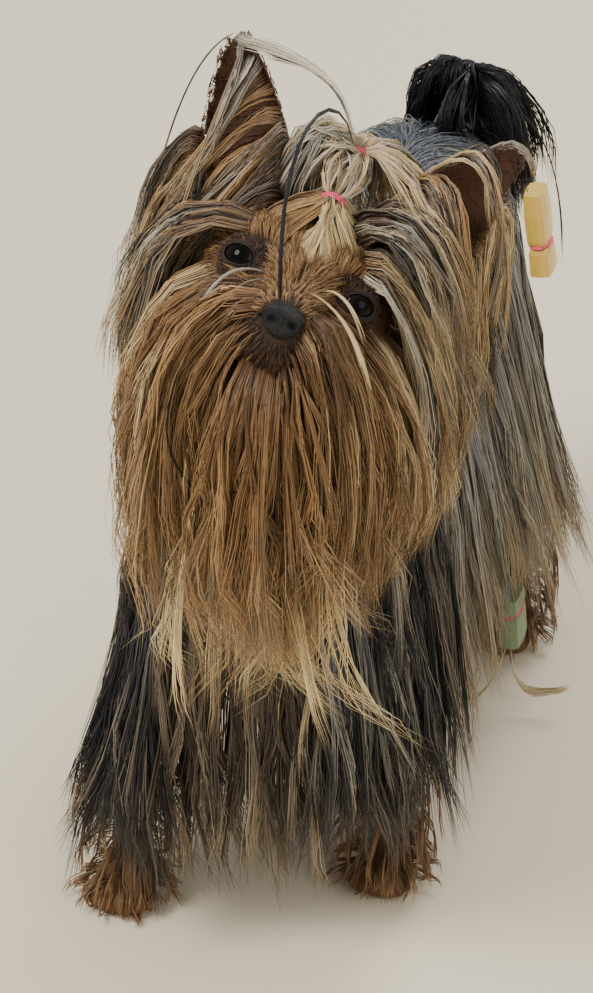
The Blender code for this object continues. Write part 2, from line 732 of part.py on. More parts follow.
NECK_FANS = (
    # Down the nape and over the withers
    (4, ((-0.006, -0.010, 0.264), (0.036, -0.014, 0.262)), ((-0.5, 1, -0.8), (0.5, 1, -0.8)),
     ((-0.022, 0.018, 0.226), (0.046, 0.014, 0.224)), 0.0085, (0, 1, 0.6), (0, 0.5, -1)),
    (3, ((-0.020, 0.010, 0.232), (0.028, 0.008, 0.232)), ((-0.5, 1, -0.8), (0.5, 1, -0.8)),
     ((-0.030, 0.050, 0.214), (0.034, 0.050, 0.214)), 0.0110, (0, 0.5, 1), (0, 1, -0.4)),
    # Down each side and the front of the throat
    (3, ((0.036, 0.004, 0.222), (0.036, -0.032, 0.222)), ((0.4, 0.3, -1), (0.4, -0.4, -1)),
     ((0.048, 0.022, 0.198), (0.042, -0.046, 0.188)), 0.0085, (1, -0.3, 0.2)),
    (3, ((-0.030, 0.004, 0.222), (-0.022, -0.032, 0.222)), ((-0.4, 0.3, -1), (-0.4, -0.4, -1)),
     ((-0.040, 0.024, 0.200), (-0.026, -0.046, 0.192)), 0.0085, (-1, -0.3, 0.2)),
    (4, ((-0.014, -0.044, 0.216), (0.030, -0.044, 0.216)), ((-0.4, -1, -0.6), (0.4, -1, -0.6)),
     ((-0.026, -0.066, 0.174), (0.034, -0.066, 0.174)), 0.0080, (0, -1, 0)),
)
HEAD_FANS = (
    # Beard from the throat, the jaw and the chin
    (5, ((-0.016, -0.010, -0.026), (0.016, -0.010, -0.026)), ((-0.3, -0.4, -1), (0.3, -0.4, -1)),
     ((-0.018, -0.071, 0.132), (0.050, -0.068, 0.128)), 0.0075, (0, -1, 0)),
    (6, ((-0.012, -0.032, -0.027), (0.012, -0.032, -0.027)), ((-0.4, -0.6, -1), (0.4, -0.6, -1)),
     ((-0.014, -0.080, 0.124), (0.052, -0.078, 0.116)), 0.0070, (0, -1, 0)),
    # Moustache from the sides of the muzzle, and the whiskers that sweep over the cheeks
    (4, ((-0.010, -0.050, -0.014), (-0.015, -0.034, -0.014)), ((-0.5, -0.8, -0.4), (-1, -0.4, 0)),
     ((0.008, -0.096, 0.158), (-0.026, -0.082, 0.156)), 0.0050, (-0.4, -1, 0)),
    (4, ((0.010, -0.050, -0.014), (0.015, -0.034, -0.014)), ((0.5, -0.8, -0.4), (1, -0.4, 0)),
     ((0.036, -0.094, 0.150), (0.060, -0.078, 0.150)), 0.0050, (0.4, -1, 0)),
    (3, ((-0.010, -0.048, -0.004), (-0.015, -0.032, -0.002)), ((-1, -0.6, -0.1), (-1, -0.3, 0.1)),
     ((-0.032, -0.086, 0.180), (-0.044, -0.064, 0.188)), 0.0055, (-0.6, -0.8, 0)),
    (3, ((0.010, -0.048, -0.004), (0.015, -0.032, -0.002)), ((1, -0.6, -0.1), (1, -0.3, 0.1)),
     ((0.060, -0.092, 0.170), (0.072, -0.068, 0.172)), 0.0055, (0.6, -0.8, 0)),
    # Falls from the cheeks and the temples
    (5, ((-0.026, -0.018, -0.012), (-0.028, 0.012, -0.008)), ((-1, -0.3, -0.3), (-1, 0.2, -0.2)),
     ((-0.034, -0.066, 0.166), (-0.048, -0.034, 0.184)), 0.0065, (-1, -0.5, 0)),
    (5, ((0.026, -0.018, -0.012), (0.028, 0.012, -0.008)), ((1, -0.3, -0.3), (1, 0.2, -0.2)),
     ((0.062, -0.064, 0.146), (0.070, -0.022, 0.164)), 0.0065, (1, -0.5, 0)),
    (4, ((-0.024, -0.020, 0.010), (-0.029, 0.002, 0.010)), ((-1, -0.2, 0.2), (-1, 0.2, 0.2)),
     ((-0.042, -0.066, 0.222), (-0.049, -0.038, 0.214)), 0.0060, (-1, -0.3, 0.2)),
)
KNOT_FANS = (
    (5, ((-0.002, -0.004, 0.055), (0.003, -0.004, 0.055)), ((-0.8, 0.6, 0.4), (0.8, 0.8, 0.3)),
     ((-0.012, 0.000, 0.284), (0.062, -0.004, 0.272)), 0.0055, (0, 0.6, 1)),
    (1, ((0.000, -0.009, 0.057), (0.000, -0.009, 0.057)), ((-1, -0.3, 0.9), (-1, -0.3, 0.9)),
     ((0.0175, -0.072, 0.312), (0.0175, -0.072, 0.312)), 0.0028, (-0.2, -0.4, 1)),
)
EAR_EDGE = ((0.02, 0.90), 6)      # share of the ear's length that carries the fringe, and its locks
EAR_LOCK_HALF_WIDTH = 0.0058
EAR_SINK = 0.0022
EAR_PULL = 0.24
EAR_COMB = (0.75, 0.55, 0.35)     # how far its combs point outward, down, and further down at the tip
EAR_FALL_TIPS = {
    1: ((0.080, -0.034, 0.190), (0.088, -0.004, 0.204)),
    -1: ((-0.048, -0.050, 0.200), (-0.054, -0.024, 0.220)),
}


def fans(dice, table, frame=None, **more):
    """All the locks of a table of fans."""
    return [fan(dice, *row, frame=frame, **more) for row in table]


def fuse_coat(obj, collection, obstacles, rows, extra=()):
    """Grow rows of locks on a node clear of its neighbours and join them to it.

    Where two faces of the joined body would only just touch, all the locks are made a touch thicker.
    """
    core, around = surface([obj]), surface(obstacles)
    locks = list(extra)
    for row in rows:
        locks += lay_row(core, around, row)
    bare = obj.data.copy()
    for attempt in range(SWELL_TRIES):
        if attempt:
            worn = obj.data
            obj.data = bare.copy()
            bpy.data.meshes.remove(worn)
        swell = 1 + SWELL * attempt
        pieces = [add_object("lock", lock.solid(swell=swell), collection) for lock in locks]
        cut(obj, "UNION", pieces, "MANIFOLD")
        if is_sound(obj.data):
            break
    bpy.data.meshes.remove(bare)


def leg_stations(name):
    """A leg from inside the trunk down to the pastern above its paw."""
    x, y = FEET[name]
    side = 1 if x > 0 else -1
    return [
        (x * along_x + side * dx, y * along_y + dy, z, half_width, half_height)
        for along_x, dx, along_y, dy, z, half_width, half_height in LEGS[name.split("_")[0]]
    ]


def make_leg(name, collection):
    """One leg with its paw and toes."""
    x, y = FEET[name]
    leg = add_object("leg_" + name, tube(leg_stations(name), LIMB_SIDES, floor=0.0), collection, "tan")
    half = PAW_WIDTH / 2
    paw_rows = [(x, y + back, z, half * share, half_height) for back, z, share, half_height in PAW]
    pieces = [add_object("paw", tube(paw_rows, LIMB_SIDES, floor=0.0), collection)]
    size = [TOE_RADIUS * share for share in TOE_SHAPE]
    for k in range(TOES):
        across = 2 * k / (TOES - 1) - 1
        centre = Vector((
            x + across * half * TOE_SPREAD,
            y - TOE_REACH + abs(across) * TOE_DROP_BACK,
            TOE_RADIUS,
        ))
        pieces.append(add_object("toe", ball(centre, size, 6, 4), collection))
    cut(leg, "UNION", pieces, "MANIFOLD")
    cut(leg, "DIFFERENCE", [trunk_cutter(collection)])
    return leg


def make_head(collection):
    """Skull, muzzle, jaw, lips and lids, with a socket for each eye."""
    head = add_object("head", tube(SKULL, HEAD_SIDES, frame=HEAD), collection, "tan")
    pieces = [add_object("jaw", tube(JAW, LIMB_SIDES, frame=HEAD), collection)]
    for side in (-1, 1):
        look = Vector((side * EYE_LOOK.x, EYE_LOOK.y, EYE_LOOK.z)).normalized()
        lid = hoop(eye_centre(side) + look * LID_OUT, look, LID_RING, LID_RADIUS, HEAD, LID_STRETCH)
        pieces.append(add_object("lid", lid, collection))
        lip_rows = [(side * x, y, z, radius, radius) for x, y, z, radius in LIP]
        pieces.append(add_object("lip", tube(lip_rows, LIP_SIDES, frame=HEAD), collection))
    cut(head, "UNION", pieces)
    reach = (EYE_RADIUS + GAP,) * 3
    sockets = [
        add_object("socket", ball(eye_centre(side), reach, *EYE_FACETS, HEAD), collection)
        for side in (-1, 1)
    ]
    cut(head, "DIFFERENCE", sockets)
    return head


def skull_cutter(collection):
    """The skull and muzzle grown by the gap, to cut what meets them."""
    return add_object("cutter", tube(SKULL, HEAD_SIDES, grow=GAP, frame=HEAD), collection, "tan")


def trunk_cutter(collection):
    """The trunk grown by the gap."""
    return add_object("cutter", tube(TRUNK, BODY_SIDES, grow=GAP), collection, "steel")


def eye_centre(side):
    """The middle of the left or right eye, on the head's axes."""
    return Vector((side * EYE.x, EYE.y, EYE.z))


def make_eye(side, name, collection):
    """One eye ball."""
    ball_bm = ball(eye_centre(side), (EYE_RADIUS,) * 3, *EYE_FACETS, HEAD)
    return add_object(name, ball_bm, collection, "brown")


def make_nose(collection):
    """The nose leather with its two nostrils, set on the end of the muzzle."""
    nose = add_object("nose", ball(NOSE, NOSE_HALF, 12, 8, HEAD), collection, "black")
    holes = [skull_cutter(collection)]
    for side in (-1, 1):
        centre = NOSE + Vector((side * NOSTRIL.x, NOSTRIL.y, NOSTRIL.z))
        holes.append(add_object("nostril", ball(centre, NOSTRIL_HALF, 6, 5, HEAD), collection))
    cut(nose, "DIFFERENCE", holes)
    return nose


def ear_frame(side):
    """The ear's base, its axis to the tip, and its outward and forward directions."""
    base = Vector((side * EAR_BASE.x, EAR_BASE.y, EAR_BASE.z))
    tip = Vector((side * EAR_TIP.x, EAR_TIP.y, EAR_TIP.z))
    along = tip - base
    forward = Vector((side * 0.30, -1, 0.10)).normalized()
    outward = (along.cross(forward) * -side).normalized()
    if outward.x * side < 0:
        outward = -outward
    forward = (along.cross(outward) * -side).normalized()
    if forward.y > 0:
        forward = -forward
    return base, along, outward, forward


def ear_width(t):
    """Half width of the ear at a share of its length."""
    return EAR_HALF_WIDTH * max(0.10, math.sin(math.pi * (0.30 + 0.66 * t)) ** 0.85)


def make_ear(side, name, collection):
    """An upright, pointed ear with its cup open to the front."""
    base, along, outward, forward = ear_frame(side)
    rings = []
    for i in range(EAR_STEPS + 1):
        last = i == EAR_STEPS
        t = EAR_ROOT + (1 - EAR_ROOT) * i / EAR_STEPS
        wide = EAR_TIP_WIDTH if last else ear_width(max(t, 0))
        deep = EAR_CUP * wide / EAR_HALF_WIDTH
        thick = EAR_THICKNESS * (EAR_TIP_THIN if last else 1)
        centre = base + along * t
        ring = []
        for k in range(EAR_ARC + 1):
            a = math.pi * (k / EAR_ARC - 0.5)
            ring.append(centre + outward * wide * math.sin(a) - forward * deep * math.cos(a))
        for k in range(EAR_ARC - 1, 0, -1):
            a = math.pi * (k / EAR_ARC - 0.5)
            inner = centre + outward * (wide * EAR_INSIDE) * math.sin(a) - forward * deep * math.cos(a)
            ring.append(inner + forward * thick)
        rings.append([HEAD @ p for p in ring])
    bm = bmesh.new()
    skin_rings(bm, rings)
    ear = add_object(name, bm, collection, "ear")
    cut(ear, "DIFFERENCE", [skull_cutter(collection)])
    return ear


def knot_stations():
    """The gathered topknot: wide on the brow, pinched at each band, and full between."""
    r = KNOT_RADIUS
    up = (BAND_BACK - BAND_FRONT).normalized()
    return (
        (0, -0.0160, 0.0150, BROW_HALF_WIDTH, 0.0085),
        (0, -0.0185, 0.0245, BROW_HALF_WIDTH * 0.80, 0.0070),
        (*BAND_FRONT, r, r),
        (*((BAND_FRONT + BAND_BACK) / 2), r * KNOT_MIDDLE[0], r * KNOT_MIDDLE[1]),
        (*BAND_BACK, r, r),
        *[(*(BAND_BACK + up * far), r * wide, r * high) for far, wide, high in KNOT_TOP],
    )


def make_knot(collection):
    """The hair of the topknot and its two elastic bands."""
    knot = add_object("topknot", tube(knot_stations(), LIMB_SIDES, frame=HEAD), collection, "cream")
    cut(knot, "DIFFERENCE", [skull_cutter(collection)])
    bands = []
    up = (BAND_BACK - BAND_FRONT).normalized()
    for name, centre in (("topknot_band_front", BAND_FRONT), ("topknot_band_back", BAND_BACK)):
        groove = hoop(centre, up, KNOT_RADIUS, BAND_WIRE + GAP, HEAD)
        cut(knot, "DIFFERENCE", [add_object("groove", groove, collection)])
        band = hoop(centre, up, KNOT_RADIUS, BAND_WIRE, HEAD)
        bands.append(add_object(name, band, collection, "pink"))
    return knot, bands


# Each hair wrap: middle, direction down its length, half sizes, its band's place along it, colour
WRAPS = {
    "wrap_yellow": (
        Vector((0.0545, 0.150, 0.195)), Vector((0.14, 0.02, -1)), (0.0042, 0.0068, 0.0165), 0.3, "yellow",
    ),
    "wrap_green": (
        Vector((0.0560, 0.128, 0.040)), Vector((0.05, 0.10, -1)), (0.0042, 0.0078, 0.0108), -0.3, "green",
    ),
}
WRAP_ROOTS = {
    "wrap_yellow": (Vector((0.016, 0.146, 0.205)), Vector((0.8, 0.1, 0.9))),
    "wrap_green": (Vector((0.040, 0.120, 0.120)), Vector((1, 0.1, -0.6))),
}
WRAP_DEPTH = 0.006                # how far the wrapped hair goes into its paper
WRAPPED_HALF = (0.0030, 0.0034)
WRAP_SIDES = 12
WRAP_CORNER = 0.6                 # how square the paper's section is, from 0, round, to 1, square
WRAP_ENDS = ((-1, 0.86), (-0.5, 1.0), (1, 1.0))           # place along the paper, share of its size
WRAP_PINCH = ((-0.16, 0.96), (0, 0.80), (0.16, 0.96))     # the same, from the elastic's place
WRAP_BAND = 0.84                  # share of the paper's size that the elastic's line keeps


def wrapped_lock(name, core):
    """The lock of coat that a paper wrap holds."""
    middle, down, half, _, _ = WRAPS[name]
    root, comb = WRAP_ROOTS[name]
    axis = down.normalized()
    tip = middle - axis * (half[2] - WRAP_DEPTH)
    lock = lay_lock(core, root, comb, tip, WRAPPED_HALF[0], Vector((1, 0, 0)), fall=axis)
    lock.depth = WRAPPED_HALF[1]
    return lock


def make_wrap(name, lock, collection):
    """A folded paper packet round a lock of hair, with an elastic round it."""
    middle, down, half, place, colour = WRAPS[name]
    axis = down.normalized()
    across = Vector((0, 1, 0))
    across = (across - axis * across.dot(axis)).normalized()
    out = across.cross(axis)
    rings = []
    for t, size in sorted([*WRAP_ENDS, *[(place + step, share) for step, share in WRAP_PINCH]]):
        ring = []
        for k in range(WRAP_SIDES):
            a = math.tau * (k + 0.5) / WRAP_SIDES
            x, y = math.cos(a), math.sin(a)
            square = max(abs(x), abs(y)) ** WRAP_CORNER
            p = middle + axis * half[2] * t + (out * x * half[0] + across * y * half[1]) * size / square
            ring.append(p)
        rings.append(ring)
    bm = bmesh.new()
    skin_rings(bm, rings)
    wrap = add_object(name, bm, collection, colour)
    cut(wrap, "DIFFERENCE", [add_object("pocket", lock.solid(GAP), collection)])
    centre = middle + axis * half[2] * place
    groove, band = [
        oval_hoop(centre, axis, out, across, half[0] * WRAP_BAND, half[1] * WRAP_BAND, BAND_WIRE + grow)
        for grow in (GAP, 0.0)
    ]
    cut(wrap, "DIFFERENCE", [add_object("groove", groove, collection)])
    return wrap, add_object(name + "_band", band, collection, "pink")


# Hair of the lower leg: height of the roots, how far behind the foot's middle they are on a front and
# a hind leg, how many locks, first and last direction round the leg (the toes are at -90 degrees),
# reach of the tips, their height and the half width
LEG_TIERS = (
    (0.058, {"front": 0.004, "hind": 0.012}, 3, (-10, 190), 0.0140, 0.018, 0.0068),
    (0.024, {"front": 0.004, "hind": 0.004}, 5, (-30, 210), 0.0160, 0.0030, 0.0062),
)
LEG_ROOT_REACH = 0.006            # how far from the leg's middle its locks start


def leg_fans(name):
    """Longer hair down the foreleg or hock and round the foot."""
    x, y = FEET[name]
    rows = []
    for height, back, count, (first, last), reach, low, half_width in LEG_TIERS:
        middle = Vector((x, y + back[name.split("_")[0]], height))
        specs = []
        for i in range(count):
            angle = math.radians(first + (last - first) * i / (count - 1))
            out = Vector((math.cos(angle), math.sin(angle), 0))
            specs.append(dict(
                root=middle + out * LEG_ROOT_REACH,
                comb=out + DOWN,
                tip=Vector((x + out.x * reach, y - 0.001 + out.y * reach, low)),
                half_width=half_width,
                away=out,
            ))
        rows.append(specs)
    return rows


def ear_fans(side, dice):
    """The fringe that grows from the ear's outer edge, and a shorter one inside it."""
    base, along, outward, _ = ear_frame(side)
    (low, high), count = EAR_EDGE
    first, last = EAR_FALL_TIPS[side]
    turn = HEAD.to_3x3()
    specs = []
    for i in range(count):
        t = low + (high - low) * (i + 0.5) / count
        shake = Vector(dice.uniform(-0.003, 0.003, 3))
        edge = HEAD @ (base + along * t + outward * ear_width(t))
        specs.append(dict(
            root=edge,
            comb=turn @ outward * EAR_COMB[0] + DOWN * (EAR_COMB[1] + EAR_COMB[2] * t),
            tip=Vector(first).lerp(Vector(last), t) + shake,
            half_width=EAR_LOCK_HALF_WIDTH * dice.uniform(0.9, 1.1),
            away=Vector((side, 0, 0)),
            sink=EAR_SINK,
            layer=i % 2,
            pull=EAR_PULL,
            hug=False,
        ))
    return [specs]


def build():
    """Make every node, then grow each coat clear of what is there already."""
    for obj in list(bpy.data.objects):
        bpy.data.objects.remove(obj)
    collection = bpy.data.collections.new("yorkshire_terrier")
    bpy.context.scene.collection.children.link(collection)
    dice = np.random.default_rng(SEED)

    torso = add_object("torso", tube(TRUNK, BODY_SIDES), collection, "steel")
    head = make_head(collection)
    legs = [make_leg(name, collection) for name in FEET]
    neck = add_object("neck", tube(NECK, NECK_SIDES), collection, "steel")
    cut(neck, "DIFFERENCE", [trunk_cutter(collection), skull_cutter(collection)])
    tail = add_object("tail", tube(TAIL, LIMB_SIDES), collection, "black")
    cut(tail, "DIFFERENCE", [trunk_cutter(collection)])
    eyes = [make_eye(1, "eye_left", collection), make_eye(-1, "eye_right", collection)]
    nose = make_nose(collection)
    ears = {1: make_ear(1, "ear_left", collection), -1: make_ear(-1, "ear_right", collection)}
    knot, bands = make_knot(collection)
    trunk = surface([torso])
    wrapped = {name: wrapped_lock(name, trunk) for name in WRAPS}
    wraps = []
    for name, lock in wrapped.items():
        wraps += make_wrap(name, lock, collection)

    nodes = [torso, head, *legs, neck, tail, *eyes, nose, *ears.values(), knot, *bands, *wraps]

    def others(*own):
        return [obj for obj in nodes if obj not in own]

    for leg, name in zip(legs, FEET):
        fuse_coat(leg, collection, others(leg), leg_fans(name))
    rows = flank_specs(dice, 1) + flank_specs(dice, -1)
    rows += fans(dice, CHEST_FANS) + fans(dice, SHOULDER_FANS) + fans(dice, RUMP_FANS)
    fuse_coat(torso, collection, others(torso), rows, extra=wrapped.values())
    fuse_coat(tail, collection, others(tail), fans(dice, TAIL_FANS, sink=0.0025))
    fuse_coat(neck, collection, others(neck), fans(dice, NECK_FANS))
    for side, ear in ears.items():
        fuse_coat(ear, collection, others(ear), ear_fans(side, dice))
    fuse_coat(head, collection, others(head), fans(dice, HEAD_FANS, HEAD))
    fuse_coat(knot, collection, others(knot), fans(dice, KNOT_FANS, HEAD, sink=0.002, hug=False))
    place_origin(nodes, collection)


def place_origin(nodes, collection):
    """Hang every node on an empty that puts the origin under the middle of the dog."""
    corners = np.array([tuple(v.co) for obj in nodes for v in obj.data.vertices])
    low, high = corners.min(axis=0), corners.max(axis=0)
    stand = bpy.data.objects.new("stand_point", None)
    collection.objects.link(stand)
    stand.location = (-(low[0] + high[0]) / 2, -(low[1] + high[1]) / 2, -low[2])
    for obj in nodes:
        obj.parent = stand
        obj.data.shade_smooth()
        obj.data.set_sharp_from_angle(angle=math.radians(50))


build()
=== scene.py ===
"""A Yorkshire terrier in full show coat, as a still life-size model on a pale studio floor.

Shapes are set out in the dog's own frame, in metres: it faces -Y, its left side is +X, and the
origin is a point on the floor between the front feet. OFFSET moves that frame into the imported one.
The tables of strands are in millimetres.
"""
import math

import bmesh
import bpy
import numpy as np
from mathutils import Matrix, Vector
from mathutils.bvhtree import BVHTree


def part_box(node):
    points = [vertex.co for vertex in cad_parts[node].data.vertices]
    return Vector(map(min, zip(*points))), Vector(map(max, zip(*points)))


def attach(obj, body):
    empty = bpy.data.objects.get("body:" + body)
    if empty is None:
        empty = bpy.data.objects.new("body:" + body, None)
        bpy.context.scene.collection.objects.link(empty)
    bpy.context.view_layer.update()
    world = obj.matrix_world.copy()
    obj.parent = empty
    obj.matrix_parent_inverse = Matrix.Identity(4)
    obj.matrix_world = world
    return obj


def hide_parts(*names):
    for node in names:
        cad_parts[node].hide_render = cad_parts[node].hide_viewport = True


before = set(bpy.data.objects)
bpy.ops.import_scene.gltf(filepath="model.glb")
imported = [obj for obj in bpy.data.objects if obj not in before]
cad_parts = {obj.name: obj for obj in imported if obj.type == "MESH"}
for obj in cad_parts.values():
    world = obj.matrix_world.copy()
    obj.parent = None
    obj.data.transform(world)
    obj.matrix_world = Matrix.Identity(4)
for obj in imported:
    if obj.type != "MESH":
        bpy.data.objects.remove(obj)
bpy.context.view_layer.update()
SEED = 11

# The head's own axes, from the middle of the skull: left, back and up
HEAD_CENTRE = Vector((0.0222, -0.0624, 0.2769))
HEAD = (
    Matrix.Translation(HEAD_CENTRE)
    @ Matrix.Rotation(math.radians(16.2), 4, "Z")
    @ Matrix.Rotation(math.radians(-30.1), 4, "X")
    @ Matrix.Rotation(math.radians(22.0), 4, "Y")
)
HEAD_AXES = np.array(HEAD.to_3x3())
EYE = Vector((0.0190, -0.0262, 0.0050))
EYE_RADIUS = 0.0068
EYE_LOOK = Vector((0.34, -0.93, 0.08))
EYE_OPENING = (0.0060, 0.0036)
EYE_REACH = 0.004
EYE_HOLLOW = 0.0014
EYE_SURROUND = 0.0105
# How far from the middle of its look the iris of an eye changes, in radians, and how light it is there
IRIS_AT = (0.34, 0.42, 0.62, 0.78, 0.86)
IRIS_LIGHT = (0, 0.4, 1, 0.5, 0.05)
IRIS = (0.012, 0.005, 0.002)
PUPIL_SHADE = 0.002
LID_HALF = (0.0054, 0.0028)
LID_RADIUS = 0.0006
LID_STEPS = 56
LID_SIDES = 10
NOSE = Vector((0, -0.0560, -0.0085))
NOSE_HALF = Vector((0.0068, 0.0048, 0.0058))
EAR_BASE = Vector((0.0215, 0.006, 0.0150))
EAR_TIP = Vector((0.0495, 0.004, 0.0725))
EAR_HALF_WIDTH = 0.0150
EAR_CUP = 0.0095
EAR_THICKNESS = 0.0020
EAR_STEPS = 18
EAR_ACROSS = 12
BAND_FRONT = Vector((0, -0.0215, 0.0325))
BAND_BACK = Vector((0.0010, -0.0080, 0.0495))

eye_low, eye_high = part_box("eye_left")
OFFSET = (eye_low + eye_high) / 2 - HEAD @ EYE

# Sections of the body: x, y, z, half width, half height
TRUNK = (
    (0, -0.051, 0.158, 0.010, 0.012),
    (0, -0.045, 0.155, 0.023, 0.027),
    (0, -0.030, 0.152, 0.034, 0.042),
    (0, -0.005, 0.153, 0.042, 0.052),
    (0, 0.035, 0.152, 0.0455, 0.055),
    (0, 0.080, 0.156, 0.045, 0.054),
    (0, 0.120, 0.161, 0.041, 0.051),
    (0, 0.160, 0.165, 0.041, 0.048),
    (0, 0.188, 0.164, 0.036, 0.043),
    (0, 0.204, 0.162, 0.024, 0.031),
    (0, 0.211, 0.161, 0.010, 0.012),
)
NECK = (
    (0.000, 0.018, 0.172, 0.033, 0.034),
    (0.002, 0.000, 0.198, 0.032, 0.034),
    (0.008, -0.022, 0.228, 0.027, 0.029),
    (0.014, -0.040, 0.255, 0.025, 0.026),
    (0.020, -0.054, 0.272, 0.022, 0.022),
)
TAIL = (
    (0.000, 0.196, 0.176, 0.0090, 0.0090),
    (0.000, 0.211, 0.192, 0.0080, 0.0080),
    (0.003, 0.217, 0.208, 0.0068, 0.0068),
    (0.009, 0.213, 0.222, 0.0055, 0.0055),
    (0.016, 0.202, 0.227, 0.0022, 0.0022),
)
SKULL = (
    (0, 0.034, -0.001, 0.009, 0.009),
    (0, 0.029, 0.000, 0.019, 0.018),
    (0, 0.017, 0.001, 0.0280, 0.0250),
    (0, 0.002, 0.000, 0.0315, 0.0280),
    (0, -0.013, -0.001, 0.0300, 0.0265),
    (0, -0.025, -0.004, 0.0245, 0.0205),
    (0, -0.033, -0.007, 0.0170, 0.0150),
    (0, -0.042, -0.0085, 0.0135, 0.0115),
    (0, -0.051, -0.0095, 0.0118, 0.0098),
    (0, -0.0555, -0.0095, 0.0085, 0.0075),
)
JAW = (
    (0, -0.010, -0.020, 0.0160, 0.0080),
    (0, -0.030, -0.0225, 0.0125, 0.0062),
    (0, -0.043, -0.0225, 0.0098, 0.0050),
    (0, -0.0505, -0.0215, 0.0060, 0.0036),
)
FEET = {
    "front_left": (0.041, 0.006),
    "front_right": (-0.045, -0.032),
    "hind_left": (0.044, 0.172),
    "hind_right": (-0.044, 0.163),
}
PAW_WIDTH = 0.023
# Sections of a paw from its heel to the toes: y, z, share of its half width, half height
PAW = (
    (0.014, 0.004, 0.45, 0.006),
    (0.008, 0.005, 0.80, 0.011),
    (-0.002, 0.005, 1.00, 0.011),
    (-0.010, 0.004, 0.92, 0.008),
    (-0.015, 0.003, 0.60, 0.005),
)
TOES = 4
TOE_RADIUS = 0.0052
# The edge of the left lip on the head's own axes: x, y, z, radius
LIP = (
    (0.0010, -0.0520, -0.0205, 0.0011),
    (0.0068, -0.0500, -0.0196, 0.0012),
    (0.0118, -0.0425, -0.0186, 0.0013),
    (0.0142, -0.0330, -0.0180, 0.0010),
)
FLOOR_GAP = 0.0004
SKIN_VOXEL = 0.0013
SKIN_INSET = 0.0006


# Shapes
def on_side(p, side):
    """A point of the left side, or its mirror image."""
    return Vector((side * p[0], p[1], p[2]))


def smooth_stations(stations, steps):
    """Points on a smooth curve through the stations, with their half sizes."""
    rows = [np.array(s, float) for s in stations]
    result = []
    for i in range(len(rows) - 1):
        before = rows[max(i - 1, 0)]
        after = rows[min(i + 2, len(rows) - 1)]
        a, b = rows[i], rows[i + 1]
        bend_in = (b - before) / 2 if i else b - a
        bend_out = (after - a) / 2 if i + 2 < len(rows) else b - a
        for k in range(steps):
            t = k / steps
            result.append(
                (2 * t**3 - 3 * t**2 + 1) * a
                + (t**3 - 2 * t**2 + t) * bend_in
                + (3 * t**2 - 2 * t**3) * b
                + (t**3 - t**2) * bend_out
            )
    result.append(rows[-1])
    return result


def loft(bm, rings):
    """Join closed rings of equal length into a tube with fanned ends."""
    rows = [[bm.verts.new(p) for p in ring] for ring in rings]
    count = len(rows[0])
    for near, far in zip(rows, rows[1:]):
        for i in range(count):
            j = (i + 1) % count
            bm.faces.new((near[i], near[j], far[j], far[i]))
    for row in (rows[0], rows[-1]):
        hub = bm.verts.new(sum((v.co for v in row), Vector()) / count)
        for i in range(count):
            bm.faces.new((row[i], row[(i + 1) % count], hub))


def tube(bm, stations, sides, steps=4, grow=0.0, place=Matrix.Identity(4)):
    """A body of elliptical sections along a curve."""
    rows = smooth_stations(stations, steps)
    centres = [Vector(r[:3]) for r in rows]
    last = len(rows) - 1
    rings = []
    for i, row in enumerate(rows):
        ahead = (centres[min(i + 1, last)] - centres[max(i - 1, 0)]).normalized()
        side = (Vector((1, 0, 0)) - ahead * ahead.x).normalized()
        up = side.cross(ahead)
        ring = []
        for k in range(sides):
            a = math.tau * (k + 0.5) / sides
            p = centres[i] + side * (row[3] + grow) * math.cos(a) + up * (row[4] + grow) * math.sin(a)
            p.z = max(p.z, FLOOR_GAP) if place == Matrix.Identity(4) else p.z
            ring.append(place @ p)
        rings.append(ring)
    loft(bm, rings)


def ball(bm, centre, half, segments=24, rings=16, place=Matrix.Identity(4)):
    """A ball with three half sizes."""
    bmesh.ops.create_uvsphere(
        bm, u_segments=segments, v_segments=rings, radius=1,
        matrix=place @ Matrix.Translation(centre) @ Matrix.Diagonal((*half, 1)),
    )


def mesh_of(name, bm):
    """A mesh from a bmesh, its faces turned outward."""
    bmesh.ops.recalc_face_normals(bm, faces=bm.faces)
    mesh = bpy.data.meshes.new(name)
    bm.to_mesh(mesh)
    bm.free()
    return mesh


def link(name, data):
    """A new object in the scene."""
    obj = bpy.data.objects.new(name, data)
    bpy.context.scene.collection.objects.link(obj)
    return obj


def place_mesh(name, mesh, mat, slot, *replaced):
    """A smooth object on the root from a mesh in the dog's frame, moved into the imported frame."""
    mesh.transform(Matrix.Translation(OFFSET))
    mesh.polygons.foreach_set("use_smooth", [True] * len(mesh.polygons))
    mesh.materials.append(mat)
    obj = link(name, mesh)
    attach(obj, "root")
    if replaced:
        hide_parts(*replaced)
    return obj


def get_array(items, key, width, kind=float):
    """One property of many mesh items as an array."""
    values = np.empty(len(items) * width, kind)
    items.foreach_get(key, values)
    return values.reshape(-1, width) if width > 1 else values


def set_colours(mesh, colours):
    """Write the colours of a mesh's points."""
    rgba = np.ones((len(colours), 4), np.float32)
    rgba[:, :3] = colours
    mesh.color_attributes.new("coat", "FLOAT_COLOR", "POINT").data.foreach_set("color", rgba.ravel())


def set_uvs(mesh, places):
    """Write the places of a mesh's corners in the baked texture."""
    mesh.uv_layers.new(name="OFBake").data.foreach_set("uv", places.astype(np.float32).ravel())


